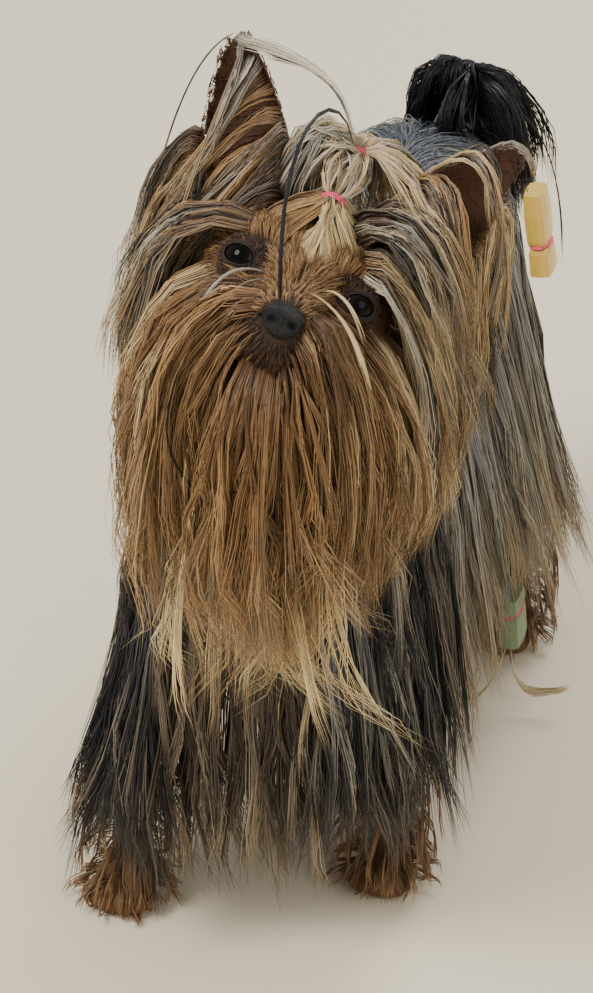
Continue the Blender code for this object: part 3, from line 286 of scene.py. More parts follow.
def leg_stations(kind, x, y):
    """A leg from inside the trunk down to the pastern above its paw."""
    side = 1 if x > 0 else -1
    if kind == "front":
        return (
            (side * 0.028, -0.010, 0.150, 0.0125, 0.0175),
            (side * 0.034, 0.000, 0.122, 0.0105, 0.0140),
            (x * 0.5 + side * 0.020, y * 0.5 + 0.006, 0.085, 0.0082, 0.0095),
            (x, y + 0.006, 0.045, 0.0070, 0.0078),
            (x, y + 0.006, 0.020, 0.0080, 0.0085),
            (x, y + 0.002, 0.006, 0.0085, 0.0090),
        )
    return (
        (side * 0.026, 0.160, 0.150, 0.0130, 0.0220),
        (side * 0.033, 0.152, 0.120, 0.0115, 0.0190),
        (x * 0.5 + side * 0.019, 0.156, 0.088, 0.0090, 0.0125),
        (x, y + 0.020, 0.056, 0.0068, 0.0078),
        (x, y + 0.012, 0.028, 0.0070, 0.0075),
        (x, y + 0.003, 0.006, 0.0085, 0.0090),
    )


def ear_frame(side):
    """The ear's base, its axis to the tip, and its outward and forward directions."""
    base = on_side(EAR_BASE, side)
    along = on_side(EAR_TIP, side) - base
    forward = Vector((side * 0.30, -1, 0.10)).normalized()
    outward = along.cross(forward).normalized()
    if outward.x * side < 0:
        outward = -outward
    forward = along.cross(outward).normalized()
    if forward.y > 0:
        forward = -forward
    return base, along, outward, forward


def ear_width(t):
    """Half width of the ear at a share of its length."""
    return EAR_HALF_WIDTH * max(0.10, math.sin(math.pi * (0.30 + 0.66 * t)) ** 0.85)


def ear_point(side, t, a, inner=False):
    """A point of the ear's cup: t up its length, a from its inner edge to its outer one."""
    base, along, outward, forward = ear_frame(side)
    wide = ear_width(max(t, 0))
    deep = EAR_CUP * wide / EAR_HALF_WIDTH
    angle = math.pi * (a - 0.5)
    p = base + along * t + outward * wide * math.sin(angle) - forward * deep * math.cos(angle)
    return p + forward * EAR_THICKNESS if inner else p


def add_ear(bm, side):
    """One upright, pointed ear, its cup open to the front."""
    rings = []
    for i in range(EAR_STEPS + 1):
        t = -0.16 + 1.16 * i / EAR_STEPS
        squeeze = 1.0 if i < EAR_STEPS - 1 else 0.8 - 0.5 * (i == EAR_STEPS)
        ring = [ear_point(side, t, k / EAR_ACROSS) for k in range(EAR_ACROSS + 1)]
        for k in range(EAR_ACROSS - 1, 0, -1):
            ring.append(ear_point(side, t, 0.5 + (k / EAR_ACROSS - 0.5) * 0.92, True))
        middle = sum(ring, Vector()) / len(ring)
        rings.append([HEAD @ (middle + (p - middle) * squeeze) for p in ring])
    loft(bm, rings)


def make_skin():
    """The whole dog under its coat as one closed skin."""
    bm = bmesh.new()
    tube(bm, TRUNK, 32, grow=-SKIN_INSET)
    tube(bm, NECK, 28, grow=-SKIN_INSET)
    tube(bm, TAIL, 16, grow=-SKIN_INSET)
    tube(bm, SKULL, 32, grow=-SKIN_INSET, place=HEAD)
    tube(bm, JAW, 20, grow=-SKIN_INSET, place=HEAD)
    for name, (x, y) in FEET.items():
        tube(bm, leg_stations(name.split("_")[0], x, y), 16, grow=-SKIN_INSET)
        half = PAW_WIDTH / 2
        paw = [(x, y + back, z, half * share, tall) for back, z, share, tall in PAW]
        tube(bm, paw, 16, grow=-SKIN_INSET)
        for k in range(TOES):
            across = (2 * k + 1 - TOES) / (TOES - 1)
            centre = Vector((x + across * half * 0.66, y - 0.0125 + abs(across) * 0.003, TOE_RADIUS))
            ball(bm, centre, (TOE_RADIUS * 0.76, TOE_RADIUS * 1.2, TOE_RADIUS * 0.86))
    for side in (-1, 1):
        add_ear(bm, side)
        ball(bm, on_side(EYE, side), (EYE_RADIUS + 0.0009,) * 3, place=HEAD)
        tube(bm, [(side * x, y, z, r, r) for x, y, z, r in LIP], 8, place=HEAD)
    obj = link("skin", mesh_of("skin", bm))
    remesh = obj.modifiers.new("remesh", "REMESH")
    remesh.mode = "VOXEL"
    remesh.voxel_size = SKIN_VOXEL
    smooth = obj.modifiers.new("smooth", "SMOOTH")
    smooth.factor = 0.5
    smooth.iterations = 3
    graph = bpy.context.evaluated_depsgraph_get()
    result = bpy.data.meshes.new_from_object(obj.evaluated_get(graph))
    bpy.data.objects.remove(obj)
    points = get_array(result.vertices, "co", 3)
    open_eyes(points)
    result.vertices.foreach_set("co", points.ravel())
    return result


def open_eyes(points):
    """Draw the skin back behind each eyeball inside its almond opening."""
    for side in (-1, 1):
        centre = np.array(HEAD @ on_side(EYE, side))
        look, across, up = eye_axes(side)
        off = points - centre
        far = np.linalg.norm(off, axis=1)
        round_opening = ((off @ across) / EYE_OPENING[0]) ** 2 + ((off @ up) / EYE_OPENING[1]) ** 2
        inside = (round_opening < 1) & (off @ look > 0) & (far < EYE_RADIUS + EYE_REACH)
        points[inside] = centre + off[inside] * ((EYE_RADIUS - EYE_HOLLOW) / far[inside])[:, None]


def eye_axes(side):
    """Where an eye looks, and the directions across and up its opening."""
    look = np.array((HEAD.to_3x3() @ on_side(EYE_LOOK, side)).normalized())
    up = np.array((HEAD.to_3x3() @ on_side((0.12, 0, 1), side)).normalized())
    up = up - look * (up @ look)
    up /= np.linalg.norm(up)
    return look, np.cross(up, look), up


# Charts for the baked texture
CHARTS = {
    "trunk": (0.01, 0.51, 0.49, 0.99),
    "head": (0.51, 0.51, 0.99, 0.99),
    "neck": (0.01, 0.26, 0.30, 0.49),
    "tail": (0.32, 0.26, 0.49, 0.49),
    "front_left": (0.51, 0.26, 0.62, 0.49),
    "front_right": (0.64, 0.26, 0.74, 0.49),
    "hind_left": (0.76, 0.26, 0.86, 0.49),
    "hind_right": (0.88, 0.26, 0.99, 0.49),
    "ear_left": (0.01, 0.02, 0.24, 0.24),
    "ear_right": (0.26, 0.02, 0.49, 0.24),
}


def line_of(stations, place=Matrix.Identity(4)):
    """Dense centres, half sizes, directions and two cross axes along a part."""
    rows = smooth_stations(stations, 8)
    centres = np.array([tuple(place @ Vector(r[:3])) for r in rows])
    sizes = np.array([(r[3] + r[4]) / 2 for r in rows])
    ahead = np.gradient(centres, axis=0)
    steps = np.linalg.norm(ahead, axis=1, keepdims=True)
    ahead /= steps
    first = np.tile(np.array(place.to_3x3() @ Vector((1, 0, 0))), (len(centres), 1))
    first -= ahead * (first * ahead).sum(axis=1, keepdims=True)
    first /= np.linalg.norm(first, axis=1, keepdims=True)
    return centres, sizes, ahead, first, np.cross(first, ahead), steps[:, 0]


def body_lines():
    """The centre line of each part that has a chart."""
    lines = {
        "trunk": line_of(TRUNK),
        "head": line_of(SKULL, HEAD),
        "neck": line_of(NECK),
        "tail": line_of(TAIL),
    }
    for name, (x, y) in FEET.items():
        lines[name] = line_of(leg_stations(name.split("_")[0], x, y))
    for side, name in ((1, "ear_left"), (-1, "ear_right")):
        base, along, _, _ = ear_frame(side)
        rows = [(*(base + along * t), 0.006, 0.006) for t in (0.1, 0.4, 0.7, 1.0)]
        lines[name] = line_of(rows, HEAD)
    return lines


LINES = body_lines()
PARTS = list(CHARTS)
CHUNK = 50000


def place_on(name, points):
    """How far points are from one part's line in its own half sizes, and where along and round it."""
    if len(points) > CHUNK:
        pieces = [place_on(name, points[i:i + CHUNK]) for i in range(0, len(points), CHUNK)]
        return [np.concatenate(column) for column in zip(*pieces)]
    centres, sizes, ahead, first, second, steps = LINES[name]
    gap = np.linalg.norm(points[:, None, :] - centres[None], axis=2) / sizes[None]
    near = gap.argmin(axis=1)
    off = points - centres[near]
    reach = (off * ahead[near]).sum(axis=1) / steps[near]
    along = np.clip((near + np.clip(reach, -1, 1)) / (len(centres) - 1), 0, 1)
    angle = np.arctan2((off * first[near]).sum(axis=1), (off * second[near]).sum(axis=1))
    return gap[np.arange(len(points)), near], along, angle / math.tau + 0.5


def locate(points):
    """For each point its part, its place along it from 0 to 1, and its angle round it from 0 to 1."""
    best = np.full(len(points), np.inf)
    part = np.zeros(len(points), int)
    found = np.zeros((2, len(points)))
    for index, name in enumerate(PARTS):
        gap, along, turn = place_on(name, points)
        closer = gap < best
        best[closer] = gap[closer]
        part[closer] = index
        found[:, closer] = along[closer], turn[closer]
    return part, *found


def chart_place(part, along, turn):
    """Places in the baked texture."""
    boxes = np.array([CHARTS[name] for name in PARTS])[part]
    u = boxes[:, 0] + (boxes[:, 2] - boxes[:, 0]) * (0.03 + 0.94 * turn)
    v = boxes[:, 1] + (boxes[:, 3] - boxes[:, 1]) * along
    return np.stack((u, v), axis=1)


# Materials
def nodes_of(name):
    """A new material's node tree and its shader."""
    mat = bpy.data.materials.new(name)
    mat.use_nodes = True
    tree = mat.node_tree
    return mat, tree, tree.nodes["Principled BSDF"]


def hair_material(name, roughness=0.42, specular=0.45):
    """Combed hair: each strand's own colour, with fine changes along it."""
    mat, tree, shader = nodes_of(name)
    colour = tree.nodes.new("ShaderNodeAttribute")
    colour.attribute_name = "coat"
    noise = tree.nodes.new("ShaderNodeTexNoise")
    noise.inputs["Scale"].default_value = 420.0
    noise.inputs["Detail"].default_value = 2.0
    spread = tree.nodes.new("ShaderNodeMapRange")
    spread.inputs["To Min"].default_value = 0.72
    spread.inputs["To Max"].default_value = 1.28
    shade = tree.nodes.new("ShaderNodeMix")
    shade.data_type = "RGBA"
    shade.blend_type = "MULTIPLY"
    shade.inputs["Factor"].default_value = 1.0
    tree.links.new(noise.outputs["Fac"], spread.inputs["Value"])
    tree.links.new(colour.outputs["Color"], shade.inputs["A"])
    tree.links.new(spread.outputs["Result"], shade.inputs["B"])
    tree.links.new(shade.outputs["Result"], shader.inputs["Base Color"])
    shader.inputs["Roughness"].default_value = roughness
    shader.inputs["Specular IOR Level"].default_value = specular
    return mat


def plain_material(name, colour, roughness, vary=0.25, scale=300.0, bump=0.0, coat=0.0):
    """A surface whose colour varies a little, with an optional fine relief."""
    mat, tree, shader = nodes_of(name)
    noise = tree.nodes.new("ShaderNodeTexNoise")
    noise.inputs["Scale"].default_value = scale
    noise.inputs["Detail"].default_value = 6.0
    ramp = tree.nodes.new("ShaderNodeValToRGB")
    ramp.color_ramp.elements[0].position = 0.3
    ramp.color_ramp.elements[1].position = 0.7
    ramp.color_ramp.elements[0].color = (*[c * (1 - vary) for c in colour], 1)
    ramp.color_ramp.elements[1].color = (*[min(c * (1 + vary), 1) for c in colour], 1)
    tree.links.new(noise.outputs["Fac"], ramp.inputs["Fac"])
    tree.links.new(ramp.outputs["Color"], shader.inputs["Base Color"])
    shader.inputs["Roughness"].default_value = roughness
    shader.inputs["Coat Weight"].default_value = coat
    if bump:
        relief = tree.nodes.new("ShaderNodeBump")
        relief.inputs["Strength"].default_value = bump
        relief.inputs["Distance"].default_value = 0.0005
        tree.links.new(noise.outputs["Fac"], relief.inputs["Height"])
        tree.links.new(relief.outputs["Normal"], shader.inputs["Normal"])
    return mat


# Coat colours
GOLD = (0.42, 0.240, 0.092)
CREAM = (0.66, 0.50, 0.28)
BLOND = (0.84, 0.64, 0.33)
BROWN = (0.160, 0.078, 0.032)
DARK = (0.036, 0.019, 0.010)
BLACK = (0.014, 0.014, 0.017)
STEEL = (0.085, 0.095, 0.115)
SILVER = (0.35, 0.32, 0.26)
ASH = (0.21, 0.23, 0.26)
WHITE = (0.70, 0.63, 0.48)
TAUPE = (0.19, 0.15, 0.11)
TAN = (0.245, 0.135, 0.055)
VELVET = (0.095, 0.042, 0.020)

# Each palette lists shares of clumps with their colours at the root, the middle and the tip
PALETTES = {
    "beard": (
        (4, BROWN, GOLD, CREAM), (4, BROWN, TAN, GOLD), (2, BROWN, GOLD, SILVER),
        (2, DARK, BROWN, TAUPE),
    ),
    "moustache": (
        (5, BROWN, TAN, TAN), (2, BROWN, GOLD, CREAM), (2, BROWN, TAN, GOLD), (3, DARK, BROWN, TAN),
        (1, GOLD, CREAM, CREAM),
    ),
    "cheek": (
        (4, GOLD, GOLD, CREAM), (4, CREAM, CREAM, CREAM), (2, BROWN, DARK, BLACK),
        (2, GOLD, TAUPE, SILVER),
    ),
    "silver_cheek": (
        (2, SILVER, CREAM, CREAM), (2, WHITE, SILVER, CREAM), (4, GOLD, CREAM, GOLD),
        (2, BROWN, TAUPE, TAUPE), (3, DARK, BLACK, BLACK),
    ),
    "fall": (
        (3, BROWN, GOLD, CREAM), (4, BROWN, TAUPE, TAUPE), (4, DARK, BLACK, BLACK),
        (2, TAUPE, SILVER, CREAM), (1, GOLD, CREAM, CREAM),
    ),
    "gold_fall": (
        (3, GOLD, GOLD, CREAM), (3, BROWN, GOLD, GOLD), (3, TAUPE, TAUPE, TAUPE),
        (2, TAUPE, SILVER, CREAM), (3, DARK, DARK, BLACK),
    ),
    "arch": (
        (3, SILVER, SILVER, STEEL), (2, STEEL, BLACK, BLACK), (2, CREAM, CREAM, CREAM),
        (1, WHITE, WHITE, WHITE),
    ),
    "nape": (
        (3, WHITE, SILVER, WHITE), (3, CREAM, WHITE, CREAM), (2, STEEL, STEEL, SILVER),
        (1, GOLD, CREAM, GOLD),
    ),
    "neck": ((3, SILVER, TAUPE, TAUPE), (3, STEEL, STEEL, BLACK), (2, TAUPE, TAUPE, CREAM)),
    "steel": (
        (5, STEEL, STEEL, BLACK), (4, STEEL, BLACK, BLACK), (3, SILVER, STEEL, STEEL),
        (1, STEEL, TAUPE, TAUPE),
    ),
    "black": (
        (5, STEEL, BLACK, BLACK), (3, BLACK, BLACK, BLACK), (2, ASH, SILVER, TAUPE),
        (1, STEEL, TAUPE, TAUPE),
    ),
    "raven": ((6, STEEL, BLACK, BLACK), (4, BLACK, BLACK, BLACK), (1, STEEL, TAUPE, TAUPE)),
    "grey": (
        (4, ASH, SILVER, SILVER), (1, STEEL, BLACK, BLACK), (3, ASH, SILVER, CREAM),
        (3, SILVER, TAUPE, CREAM),
    ),
    "chest": ((4, TAUPE, TAUPE, TAUPE), (3, BLACK, DARK, BLACK), (2, TAUPE, TAUPE, CREAM)),
    "leg": ((4, BROWN, TAN, TAN), (3, BROWN, TAN, GOLD), (3, DARK, BROWN, TAN)),
    "brow": ((4, GOLD, BLOND, BLOND), (3, GOLD, CREAM, BLOND), (1, BROWN, GOLD, GOLD)),
    "back": ((4, STEEL, ASH, STEEL), (3, STEEL, STEEL, BLACK), (2, ASH, SILVER, ASH)),
    "face": ((4, BROWN, BROWN, TAN), (3, BROWN, TAN, GOLD), (2, DARK, BROWN, BROWN)),
    "muzzle": ((5, DARK, DARK, DARK), (3, DARK, DARK, BROWN), (1, DARK, BROWN, GOLD)),
    "chin": ((3, DARK, BROWN, BROWN), (3, DARK, BROWN, GOLD)),
    "bridge": ((2, DARK, BROWN, TAN), (4, BROWN, TAN, GOLD), (3, BROWN, GOLD, GOLD)),
    "forehead": ((4, BROWN, GOLD, GOLD), (3, TAN, GOLD, CREAM), (2, BROWN, TAN, GOLD)),
    "socket": ((4, DARK, DARK, BROWN), (1, DARK, BROWN, BROWN)),
    "velvet": ((5, VELVET, VELVET, VELVET), (2, VELVET, VELVET, BROWN)),
    "knot": (
        (4, CREAM, CREAM, CREAM), (3, GOLD, CREAM, CREAM), (3, WHITE, SILVER, WHITE),
        (1, DARK, BLACK, BLACK),
    ),
    "crown": (
        (4, TAUPE, SILVER, CREAM), (3, GOLD, CREAM, CREAM), (3, TAUPE, SILVER, SILVER),
        (1, WHITE, WHITE, WHITE),
    ),
    "jet": ((1, BLACK, BLACK, BLACK),),
}


def tones(dice, palette, count):
    """Root, middle and tip colours for each of a number of clumps."""
    entries = PALETTES[palette]
    shares = np.array([entry[0] for entry in entries], float)
    pick = dice.choice(len(entries), count, p=shares / shares.sum())
    return np.array([entry[1:] for entry in entries])[pick] * dice.uniform(0.85, 1.18, (count, 1, 1))


# Strands
LAYER = 0.0036
CLEAR = 0.0010
FLAT_CLEAR = 0.0003
STRAND_FLOOR_GAP = 0.0007
STRAND_SIDES = 3
# How wide a strand is at places along it
TAPER_AT = (0, 0.15, 0.7, 1)
TAPER = (0.7, 1, 0.85, 0.3)
# How far the corners of one strand lie apart in the baked texture
PATCH = 0.0028
DARKEST, LIGHTEST = 0.004, 0.85
TINY = 1e-12


class Coat:
    """Strands gathered for one piece of the coat."""

    def __init__(self):
        self.groups = []

    def add(self, points, widths, colours, patches):
        self.groups.append((points, widths, colours, patches))

    def build(self, name, slot, mat, *replaced):
        coords, colours, loops, starts, uvs = [], [], [], [], []
        base = loop_base = 0
        for points, widths, tone, patches in self.groups:
            number, rings = points.shape[0], points.shape[1] - 1
            shell, faces, sizes, local = strand_shell(points, widths)
            per = rings * STRAND_SIDES + 1
            coords.append(shell.reshape(-1, 3))
            sides = np.repeat(tone[:, :rings], STRAND_SIDES, axis=1)
            colours.append(np.concatenate((sides, tone[:, rings:]), axis=1).reshape(-1, 3))
            loops.append((faces[None] + (np.arange(number) * per)[:, None] + base).ravel())
            begin = np.concatenate(([0], np.cumsum(sizes)[:-1]))
            starts.append((begin[None] + (np.arange(number) * len(faces))[:, None] + loop_base).ravel())
            uvs.append((patches[:, None, :] + local[None]).reshape(-1, 2))
            base += number * per
            loop_base += number * len(faces)
        coords, loops, starts = (np.concatenate(parts) for parts in (coords, loops, starts))
        mesh = bpy.data.meshes.new(name)
        mesh.vertices.add(len(coords))
        mesh.vertices.foreach_set("co", coords.astype(np.float32).ravel())
        mesh.loops.add(len(loops))
        mesh.loops.foreach_set("vertex_index", loops.astype(np.int32))
        mesh.polygons.add(len(starts))
        mesh.polygons.foreach_set("loop_start", starts.astype(np.int32))
        mesh.update(calc_edges=True)
        set_colours(mesh, np.clip(np.concatenate(colours), DARKEST, LIGHTEST))
        set_uvs(mesh, np.concatenate(uvs))
        place_mesh(name, mesh, mat, slot, *replaced)


def strand_shell(points, widths):
    """Three-sided closed strands round their lines, the last point being the tip."""
    number, rings = points.shape[0], points.shape[1] - 1
    ahead = np.empty((number, rings, 3))
    ahead[:, 0] = points[:, 1] - points[:, 0]
    ahead[:, 1:] = points[:, 2:] - points[:, :-2]
    ahead /= np.linalg.norm(ahead, axis=2, keepdims=True) + TINY
    side = np.cross(ahead[:, 0], np.array((0.31, 0.57, 0.76)))
    shell = np.empty((number, rings * STRAND_SIDES + 1, 3))
    for j in range(rings):
        side = side - ahead[:, j] * (side * ahead[:, j]).sum(axis=1, keepdims=True)
        side /= np.linalg.norm(side, axis=1, keepdims=True) + TINY
        up = np.cross(ahead[:, j], side)
        for k in range(STRAND_SIDES):
            a = math.tau * k / STRAND_SIDES
            spoke = side * math.cos(a) + up * math.sin(a)
            shell[:, j * STRAND_SIDES + k] = points[:, j] + spoke * widths[:, j, None]
    shell[:, -1] = points[:, -1]
    faces, sizes, local = [0, 2, 1], [3], [(0, 0), (0.6, 0), (0.3, 0)]
    tip = rings * STRAND_SIDES
    for j in range(rings):
        ring, low, high = j * STRAND_SIDES, j / rings, (j + 1) / rings
        for k in range(STRAND_SIDES):
            near, far = k / STRAND_SIDES, (k + 1) / STRAND_SIDES
            edge = [ring + k, ring + (k + 1) % STRAND_SIDES]
            if j < rings - 1:
                faces += [*edge, edge[1] + STRAND_SIDES, edge[0] + STRAND_SIDES]
                local += [(near, low), (far, low), (far, high), (near, high)]
            else:
                faces += [*edge, tip]
                local += [(near, low), (far, low), ((k + 0.5) / STRAND_SIDES, 1)]
            sizes.append(4 if j < rings - 1 else 3)
    return shell, np.array(faces), np.array(sizes), (np.array(local) - 0.5) * PATCH


def bilinear(keys, t, s):
    """A value between two keys along t, or four keys along t and s."""
    keys = np.array(keys, float)
    t, s = t[:, None], s[:, None]
    first = keys[0] * (1 - t) + keys[1] * t
    if len(keys) == 2:
        return first
    return first * (1 - s) + (keys[2] * (1 - t) + keys[3] * t) * s


def snap(core, points):
    """The nearest places on the skin, with their normals."""
    found = [core.find_nearest(Vector(p)) for p in points]
    return np.array([f[0] for f in found]), np.array([f[1] for f in found])


def push_out(core, points, clear, hold=False):
    """The points, moved off the skin where they are nearer than they should be, or all held at that."""
    flat = points.reshape(-1, 3).copy()
    limit = clear.ravel()
    for i in range(len(flat)):
        near, out, _, _ = core.find_nearest(Vector(flat[i]))
        short = limit[i] - (Vector(flat[i]) - near).dot(out)
        if short > 0 or hold:
            flat[i] += np.array(out) * short
    return flat.reshape(points.shape)


def grow(coat, dice, core, count, place, palette, away=(0, 0, 1), depth=(0, 2), rings=6,
         half_width=0.00025, clump=16, loose=0.16, spread=0.03, scatter=0.004, wave=(0.0014, 1.6),
         ragged=0.20, hug=True, sink=0.0012, streak=0.10, flat=0.0):
    """Grow a band of strands in clumps whose tips draw together.

    The place function gives the root, two pulling points and the tip for t along the band and s
    across it. Strands lie in layers towards the away direction, and if they hug the body they root
    in its skin and stay off it, or close to it where flat gives how far their tips stand off.
    """
    clumps = max(int(count / clump), 1)
    tc = (np.arange(clumps) + dice.uniform(0, 1, clumps)) / clumps
    sc = dice.uniform(0, 1, clumps)
    own = np.repeat(np.arange(clumps), clump)
    n = len(own)
    t = np.clip(tc[own] + dice.normal(0, spread, n), 0, 1)
    s = np.clip(sc[own] + dice.normal(0, 0.12, n), 0, 1)
    roots = place(t, s)[0]
    _, first, second, tips = place(
        np.clip(tc[own] * (1 - loose) + t * loose, 0, 1), s * loose + sc[own] * (1 - loose)
    )
    starts, normals = snap(core, roots) if hug else (roots, np.zeros((n, 3)))
    drift = dice.normal(0, scatter, (clumps, 3))[own]
    stray = dice.normal(0, scatter * 0.28, (n, 3))
    layer = dice.uniform(depth[0], depth[1], clumps)[own] + dice.uniform(-0.2, 0.2, n)
    out = np.array(away, float)
    lift = (layer * LAYER)[:, None] * out / np.linalg.norm(out)
    first = first + drift * 0.15 + lift * 0.7
    second = second + drift * 0.6 + stray * 0.5 + lift * 0.9
    tips = tips + drift + stray + lift * 0.8
    places = np.linspace(0, 1, rings + 1) ** 0.9
    reach = 1 - ragged * dice.uniform(0, 1, n) ** 2
    reach = reach * (1 - ragged * 0.8 * dice.uniform(0, 1, clumps)[own] ** 1.5)
    q = places[None, :] * reach[:, None]
    r = 1 - q
    line = (
        starts[:, None] * (r**3)[..., None] + first[:, None] * (3 * r * r * q)[..., None]
        + second[:, None] * (3 * r * q * q)[..., None] + tips[:, None] * (q**3)[..., None]
    )
    phase = dice.uniform(0, math.tau, clumps)[own][:, None] + dice.normal(0, 0.35, n)[:, None]
    rate = wave[1] * dice.uniform(0.6, 1.4, clumps)[own][:, None]
    sway = np.sin(q * rate * math.tau + phase) - np.sin(phase)
    sway += 0.35 * (np.sin(q * rate * 2.6 * math.tau + phase * 1.7) - np.sin(phase * 1.7))
    sideways = np.cross(tips - starts, dice.normal(0, 1, (clumps, 3))[own])
    sideways /= np.linalg.norm(sideways, axis=1, keepdims=True) + TINY
    line += sideways[:, None] * (sway * q**1.4 * wave[0] * 2.4)[..., None]
    if hug:
        clear = CLEAR + np.maximum(layer, 0)[:, None] * LAYER * 0.6 * np.minimum(q * 3.6, 1)
        if flat:
            clear = FLAT_CLEAR + flat * q * dice.uniform(0.5, 1.4, n)[:, None]
        line[:, 1:] = push_out(core, line[:, 1:], clear[:, 1:], bool(flat))
        line[:, 0] -= normals * sink
    line[..., 2] = np.maximum(line[..., 2], STRAND_FLOOR_GAP - OFFSET.z)
    taper = np.interp(places[:-1], TAPER_AT, TAPER)
    widths = half_width * dice.uniform(0.65, 1.3, n)[:, None] * taper[None]
    tone = tones(dice, palette, clumps)[own]
    other = tones(dice, palette, n)
    mixed = dice.uniform(0.1, 0.5, (n, 1, 1))
    mixed[dice.uniform(0, 1, n) < streak] = 1
    tone = tone * (1 - mixed) + other * mixed
    slow = dice.uniform(0, math.tau, 3)
    broad = np.sin(t * 9 + slow[0]) + np.sin(t * 17 + s * 5 + slow[1]) + np.sin(t * 31 + slow[2])
    tone = tone * (1 + 0.10 * broad)[:, None, None]
    shades = np.empty((n, rings + 1, 3))
    for j in range(rings + 1):
        x = q[:, j, None]
        low, high = np.clip(x * 2, 0, 1), np.clip(x * 2 - 1, 0, 1)
        shades[:, j] = tone[:, 0] * (1 - low) + tone[:, 1] * low * (1 - high) + tone[:, 2] * high
    shades *= dice.uniform(0.82, 1.18, n)[:, None, None]
    part, along, turn = locate(starts)
    coat.add(line, widths, shades, chart_place(part, along, turn))


def among(strands):
    """A place function from two key strands along t, or four along t and s."""
    columns = [[tuple(strand[k]) for strand in strands] for k in range(4)]

    def place(t, s):
        return [bilinear(column, t, s) for column in columns]
    return place


def in_metres(points):
    """Points given in millimetres, in metres."""
    return [tuple(x / 1000 for x in p) for p in points]


def keyed(strands, head=False):
    """A place function from strands in millimetres, their roots on the head's own axes if head is set."""
    strands = [in_metres(strand) for strand in strands]
    if head:
        strands = [(HEAD @ Vector(strand[0]), *strand[1:]) for strand in strands]
    return among(strands)


# Where each part of the coat grows
def trunk_at(y):
    """The trunk's centre height and half sizes along it."""
    rows = np.array(TRUNK)
    return [np.interp(y, rows[:, 1], rows[:, k]) for k in (2, 3, 4)]


def trunk_place(y, angle, side, out=0.0):
    """Places on the trunk by their angle down from the spine, or that far off it."""
    height, wide, tall = trunk_at(y)
    across = side * (wide + out) * np.sin(angle)
    return np.stack((across, y, height + (tall + out) * np.cos(angle)), axis=1)


# Where along the body the flank's curtain begins, turns from the shoulder's colour to its own, and ends
FLANK_START, SHOULDER_END, FLANK_END = -0.030, 0.032, 0.202
# The hem of each flank's curtain: its least height, how much more and over what place and length it
# rises, and how far out from the middle it hangs at places along the body
HEM_PLACES = (-0.03, 0.03, 0.10, 0.16, 0.20)
HEMS = {
    1: (0.014, 0.032, 0.098, 0.030, (0.056, 0.058, 0.064, 0.076, 0.068)),
    -1: (0.010, 0.012, 0.090, 0.040, (0.072, 0.064, 0.058, 0.064, 0.062)),
}


def flank_place(side, front, rear):
    """The curtain of coat from the parting along the spine, close to the body and flared at the hem."""
    low, rise, centre, length, stands = HEMS[side]

    def place(t, s):
        y = front + (rear - front) * t
        angle = 0.05 + 1.52 * s
        angle = np.where(y < 0.030, np.maximum(angle, 0.65), angle)
        roots = trunk_place(y, angle, side)
        puff = 0.007 + 0.009 * np.clip(1 - angle / 0.8, 0, 1) * np.clip((y - 0.02) / 0.06, 0, 1)
        first = trunk_place(y + 0.004, np.minimum(angle + 0.75, 1.9), side, puff)
        hem = low + rise * np.exp(-((y - centre) / length) ** 2)
        stand = np.interp(y, HEM_PLACES, stands)
        tips = np.stack((side * (stand - 0.010 * s), y * 1.05 + 0.006, hem + 0.024 * s), axis=1)
        near = np.interp(y, (-0.03, 0.10, 0.16, 0.20), (0.048, 0.052, 0.050, 0.042))
        second = np.stack((side * near, y * 1.02 + 0.003, hem + 0.058), axis=1)
        return roots, first, second, tips
    return place


def leg_place(name, low, high, reach, drop):
    """Hair all round a lower leg, hanging to a height above the floor."""
    x, y = FEET[name]
    back = 0.012 if name.startswith("hind") else 0.004

    def place(t, s):
        angle = np.radians(-100 + 360 * t)
        out = np.stack((np.cos(angle), np.sin(angle), angle * 0), axis=1)
        height = low + (high - low) * s
        middle = np.stack((x + 0 * t, y + back * np.clip(height / 0.03, 0, 1), height), axis=1)
        hem = np.maximum(height - drop, 0.0015)
        tips = np.stack((x + out[:, 0] * reach, y - 0.002 + out[:, 1] * reach, hem), axis=1)
        roots = middle + out * 0.008
        first = roots + out * drop * 0.30 + np.array((0, 0, -0.18)) * drop
        second = tips + np.array((0, 0, 0.36)) * drop + out * 0.002
        return roots, first, second, tips
    return place


def ear_place(side, low, high, around, strands):
    """Strands from a stretch of an ear, from low to high up it, between two places across it."""
    follow = keyed([((0, 0, 0), *strand) for strand in strands])

    def place(t, s):
        share = low + (high - low) * t
        across = around[0] + (around[1] - around[0]) * s
        roots = np.array([tuple(HEAD @ ear_point(side, k, a)) for k, a in zip(share, across)])
        return [roots, *follow(t, s)[1:]]
    return place


def ear_fur_place(side, inner):
    """Short velvet over the back or the inside of an ear, lying towards its tip."""
    _, along, outward, forward = ear_frame(side)
    lean = np.array(HEAD.to_3x3() @ (forward if inner else -forward))
    up = np.array(HEAD.to_3x3() @ along.normalized())
    out = np.array(HEAD.to_3x3() @ outward)

    def place(t, s):
        roots = np.array([tuple(HEAD @ ear_point(side, k * 0.97, m, inner)) for k, m in zip(t, s)])
        step = up * 0.0019 + lean * 0.0001 + (0.5 - s)[:, None] * out * 0.0008
        return roots, roots + step * 0.3 + lean * 0.0004, roots + step * 0.7 + lean * 0.0003, roots + step
    return place


def lying(roots, step, lift=0.0):
    """Short fur lying along the skin, raised a little over its middle."""
    return roots, roots + step * 0.35 + lift * 0.0005, roots + step * 0.7 + lift * 0.0004, roots + step


